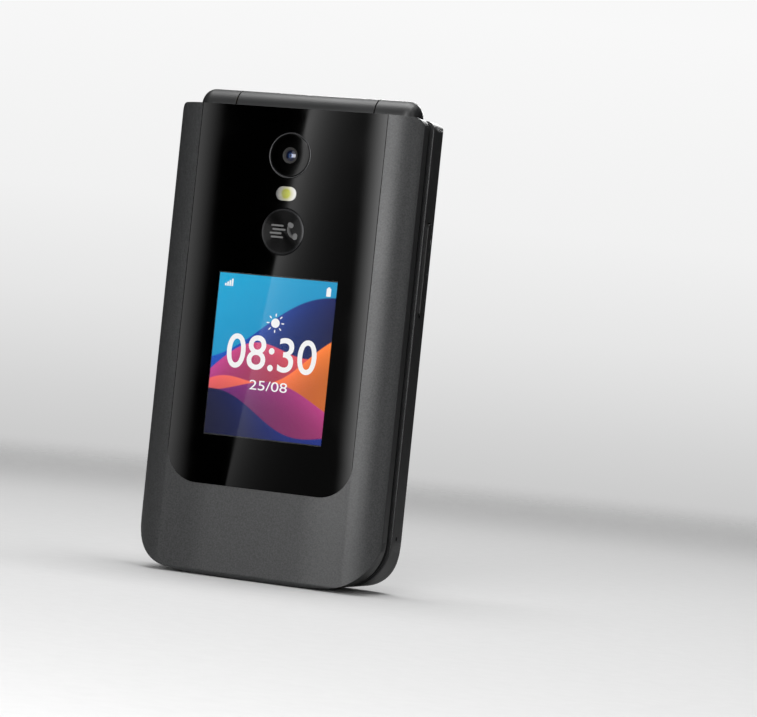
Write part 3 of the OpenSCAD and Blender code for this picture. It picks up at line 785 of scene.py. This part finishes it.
def glaze_main_window():
    glass = copy_of("inner_window", "inner_window_pane")
    open_edit(glass)
    low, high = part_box("main_display")
    for point, across in (((low.x + 0.0012, 0, 0), (1, 0, 0)), ((high.x - 0.0012, 0, 0), (1, 0, 0)),
                          ((0, 0, low.z + 0.0012), (0, 0, 1)), ((0, 0, high.z - 0.0012), (0, 0, 1))):
        bpy.ops.mesh.select_all(action="SELECT")
        bpy.ops.mesh.bisect(plane_co=point, plane_no=across)
    close_edit()
    soften(glass, 0.1, 3)
    dress(glass, GLASS_PRINT, "lid", "cover_glass", "inner_window")
    second_finish(glass, GLASS_CLEAR, lambda p, n: abs(n.y) > 0.9 and abs(p.x) < high.x / MM - 1.2
                  and low.z / MM + 1.2 < p.z < high.z / MM - 1.2)


# ---------------------------------------------------------------- camera, flash and cover key
def round_distance(finish, z):
    """Distance (mm) from the point x 0, z on the lid's face."""
    where = finish.add("ShaderNodeSeparateXYZ")
    finish.join(finish.where(), where.inputs["Vector"])
    across = maths(finish, "MULTIPLY", where.outputs["X"], 1 / MM)
    along = maths(finish, "MULTIPLY_ADD", where.outputs["Z"], 1 / MM, -z)
    return maths(finish, "SQRT", maths(finish, "ADD", maths(finish, "MULTIPLY", across, across),
                                       maths(finish, "MULTIPLY", along, along)))


def ramp(finish, value, stops):
    """Colours along a value: stops are (place, colour)."""
    node = finish.tree.nodes.new("ShaderNodeValToRGB")
    while len(node.color_ramp.elements) < len(stops):
        node.color_ramp.elements.new(0.5)
    for element, (spot, colour) in zip(node.color_ramp.elements, stops):
        element.position = spot
        element.color = (*colour, 1)
    finish.join(value, node.inputs["Fac"])
    return node.outputs["Color"]


def lens_tint_and_painted_glints():
    """Dark lens with a blue coating tint, and blue and violet rings painted round its middle as glints."""
    finish = Finish("lens_tint_painted_glints", metallic=0.3, roughness=0.08, Coat_Weight=1.0)
    away = maths(finish, "MULTIPLY", round_distance(finish, CAMERA_Z), 1 / 1.6)
    # painted glints: the colour brightens to blue at 0.3 and to violet at 0.72 of the way out, dark between
    colour = ramp(finish, away, (
        (0.0, (0.004, 0.012, 0.04)), (0.3, (0.006, 0.03, 0.12)), (0.5, (0.003, 0.006, 0.016)),
        (0.72, (0.012, 0.014, 0.05)), (1.0, (0.002, 0.002, 0.003))))
    finish.join(colour, finish.shader.inputs["Base Color"])
    return finish.material


def build_camera():
    ring = soften(copy_of("camera_bezel", "camera_ring"), 0.12)
    dress(ring, RING_METAL, "lid", "ring_metal", "camera_bezel")
    front = -FACE_Y + 0.12
    pane = turned("camera_window_pane", 0, CAMERA_Z, (
        (1.8, front), (4.42, front), (4.45, front), (4.5, front + 0.015), (4.6, front + 0.08),
        (4.6, front + 0.68), (2.1, front + 0.68), (1.76, front + 0.1), (1.77, front + 0.01)), 128, True)
    dress(pane, GLASS_PRINT, "lid", "lens_dark", "camera_window")
    barrel = turned("camera_lens_barrel", 0, CAMERA_Z, (
        (1.15, front + 0.42), (1.3, front + 0.3), (1.45, front + 0.3), (1.5, front + 0.16),
        (1.72, front + 0.12), (1.72, front + 0.6), (1.15, front + 0.6)), 72, True)
    dress(barrel, LENS_BLACK, "lid", "lens_dark")
    lens = turned("camera_lens_dome", 0, CAMERA_Z, (
        (0.15, front + 0.24), (0.5, front + 0.27), (0.85, front + 0.34), (1.14, front + 0.46),
        (1.14, front + 0.6)), 64)
    dress(lens, lens_tint_and_painted_glints(), "lid", "lens_dark")


def flash_plastic():
    finish = Finish("flash_diffuser", Coat_Weight=0.5, Coat_Roughness=0.1)
    away = maths(finish, "MULTIPLY", round_distance(finish, FLASH_Z), 1 / 2.6)
    lamp = ramp(finish, away, ((0.0, (0.5, 0.52, 0.03)), (0.34, (0.48, 0.5, 0.05)), (0.5, (0.62, 0.6, 0.4)),
                               (0.8, (0.8, 0.79, 0.76)), (1.0, (0.7, 0.7, 0.68))))
    where = finish.add("ShaderNodeSeparateXYZ")
    finish.join(finish.where(), where.inputs["Vector"])
    # painted shade: the diffuser's colour is darkened towards its left side, down to 0.07 of itself
    side = finish.add("ShaderNodeMapRange")
    side.inputs["From Min"].default_value = -2.2 * MM
    side.inputs["From Max"].default_value = 0.9 * MM
    side.inputs["To Min"].default_value = 0.07
    finish.join(where.outputs["X"], side.inputs["Value"])
    shade = finish.tree.nodes.new("ShaderNodeMix")
    shade.data_type = "RGBA"
    shade.blend_type = "MULTIPLY"
    shade.inputs[0].default_value = 1.0
    finish.join(lamp, shade.inputs[6])
    finish.join(side.outputs["Result"], shade.inputs[7])
    colour = shade.outputs[2]
    finish.join(colour, finish.shader.inputs["Base Color"])
    rings = maths(finish, "SINE", maths(finish, "MULTIPLY", round_distance(finish, FLASH_Z), 28.0))
    bump = finish.add("ShaderNodeBump", Strength=1.0, Distance=0.006 * MM)
    finish.join(rings, bump.inputs["Height"])
    finish.join(bump.outputs["Normal"], finish.shader.inputs["Normal"])
    haze = finish.group(HANDLING, Patches_per_metre=300.0, Low=0.16, High=0.26)
    finish.join(haze.outputs["Roughness"], finish.shader.inputs["Roughness"])
    return finish.material


def build_flash():
    window = soften(copy_of("flash_lens", "flash_window"), 0.16, 4)
    dress(window, flash_plastic(), "lid", "flash_white", "flash_lens")


def spun_plastic():
    """Black key face with fine spun grooves round its middle, and a painted highlight in a thin ring at its
    rim.
    """
    finish = Finish("spun_key_black", metallic=1.0)
    away = round_distance(finish, COVER_KEY_Z)
    groove = maths(finish, "SINE", maths(finish, "MULTIPLY", away, 70.0))
    bump = finish.add("ShaderNodeBump", Strength=1.0, Distance=0.004 * MM)
    finish.join(groove, bump.inputs["Height"])
    finish.join(bump.outputs["Normal"], finish.shader.inputs["Normal"])
    # painted highlight: the colour brightens in a thin ring at the rim, then darkens again at the very edge
    colour = ramp(finish, maths(finish, "MULTIPLY", away, 1 / 5.2), (
        (0.0, (0.005, 0.005, 0.005)), (0.85, (0.008, 0.008, 0.008)),
        (0.96, (0.03, 0.03, 0.031)), (1.0, (0.012, 0.012, 0.012))))
    finish.join(colour, finish.shader.inputs["Base Color"])
    haze = finish.group(HANDLING, Patches_per_metre=300.0, Low=0.1, High=0.15)
    finish.join(haze.outputs["Roughness"], finish.shader.inputs["Roughness"])
    return finish.material


def build_cover_key():
    low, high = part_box("cover_key")
    front, back, r = low.y / MM, high.y / MM, COVER_KEY_R
    cap = turned("cover_key_cap", 0, COVER_KEY_Z, (
        (0.4, front + 0.07), (3.6, front + 0.05), (4.7, front), (4.95, front + 0.02), (r, front + 0.14),
        (r, front + 0.76), (r + 0.65, front + 0.76), (r + 0.65, front + 1.14),
        (1.2, front + 1.14), (1.2, back)), 128)
    dress(cap, spun_plastic(), "cover_key", "spun_black", "cover_key")
    y = front + 0.02
    marks = [bar("dial_line%d" % i, across, y, COVER_KEY_Z + 1.25 - i * 0.83, width, 0.4)
             for i, (across, width) in enumerate(((-1.27, 2.9), (-0.82, 3.1), (-1.55, 2.8), (-1.15, 2.9)))]
    marks.append(handset("dial_handset", 3.3, y, COVER_KEY_Z + 0.75, 4.2, math.radians(158)))
    dress(joined("cover_key_icon", marks), ICON_GREY, "cover_key", "spun_black")


# ---------------------------------------------------------------- keypad
PLATE_BACK = 0.83
FLANGE_T, FLANGE_OUT = 0.2, 0.45


def key_cap(name, x, z, width, height):
    """A key: a pillow-shaped cap, its shank and the flange behind the plate."""
    rim = KEY_TOP + 0.13
    piece = block(name, x - width / 2, x + width / 2, rim, PLATE_BACK, z - height / 2, z + height / 2)
    open_edit(piece, "EDGE")
    pick_edges(piece, lambda a, b: abs(a.y - b.y) > 1)
    bpy.ops.mesh.bevel(offset=KEY_R * MM, segments=8, affect="EDGES")
    bpy.ops.mesh.select_mode(type="FACE")
    pick_faces(piece, lambda p, n: n.y < -0.9)
    for inset, rise in ((0.25, 0.06), (0.4, 0.04), (0.7, 0.03)):
        bpy.ops.mesh.inset(thickness=inset * MM)
        bpy.ops.transform.translate(value=(0, -rise * MM, 0))
    pick_faces(piece, lambda p, n: n.y > 0.9)
    bpy.ops.mesh.extrude_region_move(TRANSFORM_OT_translate={"value": (0, 0, 0)})
    middle = Vector((x, PLATE_BACK, z)) * MM
    bpy.ops.transform.resize(value=((width + 2 * FLANGE_OUT) / width, 1, (height + 2 * FLANGE_OUT) / height),
                             center_override=middle)
    bpy.ops.mesh.extrude_region_move(TRANSFORM_OT_translate={"value": (0, FLANGE_T * MM, 0)})
    close_edit()
    return soften(piece, 0.05, 2, 40)


LEGENDS = (("key_1", "1", ""), ("key_2", "2", "ABC"), ("key_3", "3", "DEF"), ("key_4", "4", "GHI"),
           ("key_5", "5", "JKL"), ("key_6", "6", "MNO"), ("key_7", "7", "PQRS"), ("key_8", "8", "TUV"),
           ("key_9", "9", "WXYZ"), ("key_star", "*", ""), ("key_0", "0", "+"), ("key_hash", "#", ""))
MARK_Y = KEY_TOP - 0.008


def build_digit_keys():
    first = key_cap("digit_cap", -COLUMN, DIGIT_Z, DIGIT_W, DIGIT_H)
    for i, (node, digit, letters) in enumerate(LEGENDS):
        x, z = (i % 3 - 1) * COLUMN, DIGIT_Z - i // 3 * ROW
        cap = twin(first, node + "_cap", x + COLUMN, 0, z - DIGIT_Z)
        dress(cap, KEY_PLASTIC, node, "key_dark", node)
        shift = 2.3 if letters else 0.0
        size = 2.2 if digit == "*" else 3.6
        legend = lettering(node + "_digit", digit, x - shift, MARK_Y, z, size, None)
        if letters:
            legend = joined(node + "_legend", [
                legend, lettering(node + "_letters", letters, x + 2.4, MARK_Y, z - 0.4, 1.4, None)])
        dress(legend, KEY_MARK, node, "key_dark")
    bpy.data.objects.remove(first)


def envelope(name, x, z):
    """An envelope's outline and flap."""
    w, h, t = 4.0, 2.6, 0.26
    marks = [bar(name, x, MARK_Y, z + h / 2, w, t), bar(name + "_low", x, MARK_Y, z - h / 2, w, t)]
    marks += [bar(name + "_side%d" % i, x + s * w / 2, MARK_Y, z, t, h) for i, s in enumerate((-1, 1))]
    marks += [bar(name + "_flap%d" % i, x + s * w / 4, MARK_Y, z + 0.45, 2.3, t, 0.02, s * 0.55)
              for i, s in enumerate((-1, 1))]
    return joined(name, marks)


def arrow(name, x, z, size, turn):
    """A small arrow head."""
    deselect()
    bpy.ops.mesh.primitive_circle_add(
        vertices=3, radius=size * MM, fill_type="NGON",
        location=Vector((x, MARK_Y + 0.02, z)) * MM, rotation=(math.pi / 2, turn, 0))
    piece = settle(bpy.context.object, name)
    open_edit(piece)
    bpy.ops.mesh.select_all(action="SELECT")
    bpy.ops.mesh.extrude_region_move(TRANSFORM_OT_translate={"value": (0, -0.02 * MM, 0)})
    bpy.ops.mesh.select_all(action="SELECT")
    bpy.ops.mesh.normals_make_consistent(inside=False)
    close_edit()
    return piece


def build_function_keys():
    first = key_cap("side_cap", -SIDE_X, SIDE_ROWS[0], SIDE_W, SIDE_H)
    for node, side, row in (
            ("send_key", -1, 0), ("end_key", 1, 0), ("side_key_left", -1, 1), ("side_key_right", 1, 1),
            ("soft_key_left", -1, 2), ("soft_key_right", 1, 2)):
        x, z = side * SIDE_X, SIDE_ROWS[row]
        cap = twin(first, node + "_cap", x + SIDE_X, 0, z - SIDE_ROWS[0])
        dress(cap, KEY_PLASTIC, node, "key_dark", node)
        material = KEY_MARK
        if node == "send_key":
            mark = handset(node + "_mark", x + 1.0, MARK_Y, z + 0.9, 4.0, math.radians(175))
            material = SEND_MARK
        elif node == "end_key":
            mark = handset(node + "_mark", x, MARK_Y, z - 1.5, 4.0, math.radians(40))
            material = END_MARK
        elif row == 2:
            mark = bar(node + "_mark", x, MARK_Y, z, 4.4, 0.6)
        elif side > 0:
            mark = envelope(node + "_mark", x, z)
        else:
            mark = joined(node + "_mark", [bar(node + "_line%d" % i, x, MARK_Y, z + (i - 1) * 1.0, 3.4, 0.36)
                                           for i in range(3)])
        dress(mark, material, node, "key_dark")
    bpy.data.objects.remove(first)
    back = key_cap("back_key_cap", 0, BACK_Z, DIGIT_W, BACK_H)
    dress(back, KEY_PLASTIC, "back_key", "key_dark", "back_key")
    mark = joined("back_key_mark", [bar("back_stem", 0.3, MARK_Y, BACK_Z, 3.4, 0.36),
                                    arrow("back_head", -1.5, BACK_Z, 1.15, math.radians(270))])
    dress(mark, KEY_MARK, "back_key", "key_dark")


def build_direction_ring():
    low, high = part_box("nav_ring")
    top, back = low.y / MM, high.y / MM
    ring = turned("nav_ring_plate", 0, NAV_Z, (
        (NAV_HOLE, top + 0.24), (NAV_HOLE + 0.25, top + 0.16), (6.2, top + 0.1), (7.8, top + 0.04),
        (8.8, top), (9.15, top + 0.05), (NAV_R, top + 0.22), (NAV_R, back), (NAV_HOLE, back)), 128, True)
    dress(ring, NAV_METAL, "nav_ring", "nav_metal", "nav_ring")
    arrows = []
    for i, turn in enumerate((math.pi / 2, 0, math.pi * 1.5, math.pi)):
        angle = i * math.pi / 2
        x, z = 7.0 * math.cos(angle), NAV_Z + 7.0 * math.sin(angle)
        arrows.append(arrow("nav_arrow%d" % i, x, z, 0.6, turn))
    dress(joined("nav_ring_arrows", arrows), KEY_MARK, "nav_ring", "nav_metal")
    low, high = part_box("ok_key")
    top, back = low.y / MM, high.y / MM
    button = turned("ok_key_cap", 0, NAV_Z, (
        (0.5, top + 0.1), (2.4, top + 0.07), (3.7, top), (4.05, top + 0.03), (OK_R, top + 0.2),
        (OK_R, back - FLANGE_T), (OK_R + 0.5, back - FLANGE_T), (OK_R + 0.5, back), (0.5, back)), 96)
    dress(button, KEY_PLASTIC, "ok_key", "key_dark", "ok_key")
    dress(lettering("ok_key_mark", "OK", 0, top + 0.03, NAV_Z, 1.9), KEY_MARK, "ok_key", "key_dark")


# ---------------------------------------------------------------- small parts
def build_port_contacts():
    """Gold contacts on both sides of the port's tongue."""
    strips = []
    for side in (-1, 1):
        for i in range(12):
            strip = block("port_strip_%d_%d" % (side, i), -2.95 + i * 0.5 + 0.1, -2.95 + i * 0.5 + 0.3,
                          3 + side * 0.36 - 0.01, 3 + side * 0.36 + 0.01, 1.4, 5.0)
            strips.append(strip)
    dress(soften(joined("usb_contacts", strips), 0.008, 1), GOLD, "base", "gold_contact")


# ---------------------------------------------------------------- stage, lamps and camera
VIEW_YAW, VIEW_RISE, VIEW_ROLL = math.radians(23.18), math.radians(-0.10), math.radians(5.86)
VIEW_DISTANCE = 633.4
VIEW_TARGET = Vector((21.49, 0.0, 50.61))
VIEW_LENS = 139.8


def add_camera():
    ahead = Vector((-math.sin(VIEW_YAW) * math.cos(VIEW_RISE), math.cos(VIEW_YAW) * math.cos(VIEW_RISE),
                    -math.sin(VIEW_RISE)))
    right = ahead.cross(Vector((0, 0, 1))).normalized()
    up = right.cross(ahead)
    across = math.cos(VIEW_ROLL) * right + math.sin(VIEW_ROLL) * up
    upright = -math.sin(VIEW_ROLL) * right + math.cos(VIEW_ROLL) * up
    camera = bpy.data.objects.new("camera", bpy.data.cameras.new("camera"))
    bpy.context.scene.collection.objects.link(camera)
    camera.data.lens = VIEW_LENS
    camera.data.sensor_width = 36
    camera.data.clip_start = 0.01
    turn = Matrix((across, upright, -ahead)).transposed().to_4x4()
    camera.matrix_world = Matrix.Translation((VIEW_TARGET - VIEW_DISTANCE * ahead) * MM) @ turn
    bpy.context.scene.camera = camera


def add_lamp(name, place, aim, width, height, power):
    data = bpy.data.lights.new(name, "AREA")
    data.shape = "RECTANGLE"
    data.size, data.size_y = width * MM, height * MM
    data.energy = power
    lamp = bpy.data.objects.new(name, data)
    bpy.context.scene.collection.objects.link(lamp)
    spot = Vector(place) * MM
    lamp.location = spot
    lamp.rotation_euler = (Vector(aim) * MM - spot).to_track_quat("-Z", "Y").to_euler()
    return lamp


FLOOR_R, FLOOR_FADE, PAPER_BOUNCE = 0.75, 0.25, 0.45


def paper_floor():
    """Pale paper that thins out to nothing at its rim, so that no horizon shows."""
    finish = Finish("studio_paper", roughness=0.9, Specular_IOR_Level=0.0)
    finish.grain(4.0, grey(0.72), grey(0.74), 0.0, 0.85, 0.95)
    where = finish.add("ShaderNodeVectorMath")
    where.operation = "LENGTH"
    finish.join(finish.where(), where.inputs[0])
    fade = finish.add("ShaderNodeMapRange")
    fade.interpolation_type = "SMOOTHSTEP"
    fade.inputs["From Min"].default_value = FLOOR_FADE
    fade.inputs["From Max"].default_value = FLOOR_R
    fade.inputs["To Min"].default_value = 1.0
    fade.inputs["To Max"].default_value = 0.0
    finish.join(where.outputs["Value"], fade.inputs["Value"])
    finish.join(fade.outputs["Result"], finish.shader.inputs["Alpha"])
    # the paper throws back less light on the phone than the camera sees on it
    seen = finish.add("ShaderNodeLightPath")
    strength = finish.add("ShaderNodeMapRange")
    strength.inputs["To Min"].default_value = PAPER_BOUNCE
    finish.join(seen.outputs["Is Camera Ray"], strength.inputs["Value"])
    dim = finish.tree.nodes.new("ShaderNodeMix")
    dim.data_type = "RGBA"
    dim.blend_type = "MULTIPLY"
    dim.inputs[0].default_value = 1.0
    paper = finish.shader.inputs["Base Color"].links[0].from_socket
    finish.join(paper, dim.inputs[6])
    finish.join(strength.outputs["Result"], dim.inputs[7])
    finish.join(dim.outputs[2], finish.shader.inputs["Base Color"])
    return finish.material


def add_stage():
    deselect()
    bpy.ops.mesh.primitive_circle_add(
        vertices=96, radius=FLOOR_R, fill_type="NGON", location=(0, 0, -0.00005))
    floor = bpy.context.object
    floor.name = "studio_floor"
    open_edit(floor, "EDGE")
    bpy.ops.mesh.select_all(action="SELECT")
    bpy.ops.mesh.extrude_region_move(TRANSFORM_OT_translate={"value": (0, 0, -0.002)})
    close_edit()
    floor.data.materials.append(paper_floor())


# The card that the glass mirrors, in the glass's own x and z (mm): CARD_SCALE and CARD_SHIFT carry it there
CARD_Y = -350.0
CARD_SCALE = 1.594
CARD_SHIFT_X, CARD_SHIFT_Z = -160.9, -29.4


def card_light():
    """Brightness of the card: black to the left of a slanted edge, a soft fall-off to its right."""
    finish = glow("reflector_card")
    where = finish.add("ShaderNodeSeparateXYZ")
    finish.join(finish.where(), where.inputs["Vector"])
    x = maths(finish, "MULTIPLY_ADD", where.outputs["X"], 1 / MM / CARD_SCALE, -CARD_SHIFT_X / CARD_SCALE)
    z = maths(finish, "MULTIPLY_ADD", where.outputs["Z"], 1 / MM / CARD_SCALE, -CARD_SHIFT_Z / CARD_SCALE)

    def slope(value, start, end, low, high, soft=False):
        node = finish.add("ShaderNodeMapRange")
        if soft:
            node.interpolation_type = "SMOOTHSTEP"
        for label, number in (("From Min", start), ("From Max", end), ("To Min", low), ("To Max", high)):
            node.inputs[label].default_value = number
        finish.join(value, node.inputs["Value"])
        return node.outputs["Result"]

    edge = maths(finish, "MULTIPLY_ADD", z, 0.13, 3.4 - 0.13 * 103.1)
    past = maths(finish, "SUBTRACT", x, edge)
    level = slope(z, 18, 104, 0.5, 2.3)
    fade = maths(finish, "POWER", 2.718, maths(finish, "MULTIPLY", past, -1 / 4.2))
    sheen = maths(finish, "MULTIPLY_ADD", fade, level, 0.07)
    sheet = maths(finish, "MULTIPLY", slope(past, 0.0, 0.25, 0.0, 1.0), sheen)
    right = slope(maths(finish, "MULTIPLY_ADD", z, 0.015, x), 18.5, 26.6, 0.0, 4.8, True)
    left = slope(x, -16.0, -25.0, 0.0, 1.8, True)
    total = maths(finish, "ADD", maths(finish, "ADD", sheet, right), left)
    finish.shader.inputs["Emission Color"].default_value = (1, 1, 1, 1)
    finish.join(total, finish.shader.inputs["Emission Strength"])
    return finish.material


def card(name, corner, across, up, material):
    """A flat card that only reflections see."""
    deselect()
    bpy.ops.mesh.primitive_plane_add(size=1, location=(0, 0, 0))
    piece = bpy.context.object
    piece.name = name
    a, b, c = Vector(corner) * MM, Vector(across) * MM, Vector(up) * MM
    for vertex, spot in zip(piece.data.vertices, (a, a + b, a + c, a + b + c)):
        vertex.co = spot
    piece.data.materials.append(material)
    piece.visible_camera = False
    piece.visible_diffuse = False
    piece.visible_transmission = False
    piece.visible_shadow = False
    return piece


def add_cards():
    black = moulded("black_flag", 0.001, 5.0, 0.9, 1.0)
    card("reflector_card", (-230, CARD_Y, -30), (122, 0, 0), (0, 0, 240), card_light())
    card("front_flag", (-620, CARD_Y - 2, -30), (500, 0, 0), (0, 0, 620), black)
    card("left_flag", (-260, CARD_Y, -30), (0, 800, 0), (0, 0, 480), black)
    card("right_flag", (330, -480, -30), (0, 330, 0), (0, 0, 480), black)
    card("far_right_flag", (330, -60, -30), (0, 300, 0), (0, 0, 480), black)
    card("back_right_flag", (330, 240, -30), (-290, 200, 0), (0, 0, 480), black)


WORLD_LIGHT = 0.13
BACKDROP_TONES = ((0.0, 0.7), (0.2, 0.56), (0.26, 0.6), (0.316, 0.66),
                  (0.37, 0.73), (0.42, 0.79), (0.53, 0.88), (0.75, 0.94))


def set_world():
    """Even light for the phone, and a pale backdrop where the camera, gloss or glass looks at it."""
    world = bpy.data.worlds.new("studio")
    world.use_nodes = True
    bpy.context.scene.world = world
    tree = world.node_tree
    new, link = tree.nodes.new, tree.links.new
    light = tree.nodes["Background"]
    light.inputs["Color"].default_value = (0.95, 0.95, 0.95, 1)
    light.inputs["Strength"].default_value = WORLD_LIGHT
    backdrop = new("ShaderNodeBackground")
    where = new("ShaderNodeTexCoord")
    split = new("ShaderNodeSeparateXYZ")
    height = new("ShaderNodeMapRange")
    height.inputs["From Min"].default_value = -0.12
    height.inputs["From Max"].default_value = 0.2
    tone = new("ShaderNodeValToRGB")
    while len(tone.color_ramp.elements) < len(BACKDROP_TONES):
        tone.color_ramp.elements.new(0.5)
    for element, (spot, level) in zip(tone.color_ramp.elements, BACKDROP_TONES):
        element.position = spot
        element.color = (level, level, level, 1)
    link(where.outputs["Generated"], split.inputs["Vector"])
    link(split.outputs["Z"], height.inputs["Value"])
    link(height.outputs["Result"], tone.inputs["Fac"])
    link(tone.outputs["Color"], backdrop.inputs["Color"])
    path = new("ShaderNodeLightPath")
    seen = new("ShaderNodeMath")
    seen.operation = "ADD"
    link(path.outputs["Is Camera Ray"], seen.inputs[0])
    link(path.outputs["Is Glossy Ray"], seen.inputs[1])
    seen_through = new("ShaderNodeMath")
    seen_through.operation = "ADD"
    seen_through.use_clamp = True
    link(seen.outputs["Value"], seen_through.inputs[0])
    link(path.outputs["Is Transmission Ray"], seen_through.inputs[1])
    mix = new("ShaderNodeMixShader")
    link(seen_through.outputs["Value"], mix.inputs["Fac"])
    link(light.outputs["Background"], mix.inputs[1])
    link(backdrop.outputs["Background"], mix.inputs[2])
    link(mix.outputs["Shader"], tree.nodes["World Output"].inputs["Surface"])


def keep_off(lamp, pieces):
    """Keeps a lamp's mirror image off those pieces."""
    group = bpy.data.collections.new(lamp.name + "_kept_off")
    lamp.light_linking.receiver_collection = group
    for piece in pieces:
        group.objects.link(piece)
    for entry in group.collection_objects:
        entry.light_linking.link_state = "EXCLUDE"


def light_the_phone():
    front = add_lamp("front_softbox", (62, -540, 90), (5, 0, 60), 390, 330, 2.75)
    keep_off(front, [bpy.data.objects["cover_glass_pane"], bpy.data.objects["camera_window_pane"]])
    back = add_lamp("back_softbox", (-120, 560, 220), (0, 0, 60), 300, 300, 1.9)
    back.visible_camera = False
    keep_off(back, [bpy.data.objects["studio_floor"]])
    add_lamp("key_softbox", (190, -640, 560), (0, 0, 60), 200, 200, 0.6)
    add_lamp("top_softbox", (0, 60, 800), (0, 0, 0), 700, 500, 5.4)
    add_lamp("right_strip", (330, -105, 150), (20, 0, 60), 36, 340, 0.06)


give_cad_materials()
dress_shells()
glaze_cover()
build_outer_display()
build_main_display()
inner_marks()
glaze_main_window()
build_camera()
build_flash()
build_cover_key()
build_digit_keys()
build_function_keys()
build_direction_ring()
build_port_contacts()
add_stage()
add_cards()
set_world()
light_the_phone()
add_camera()
bpy.context.scene.view_settings.view_transform = "Standard"
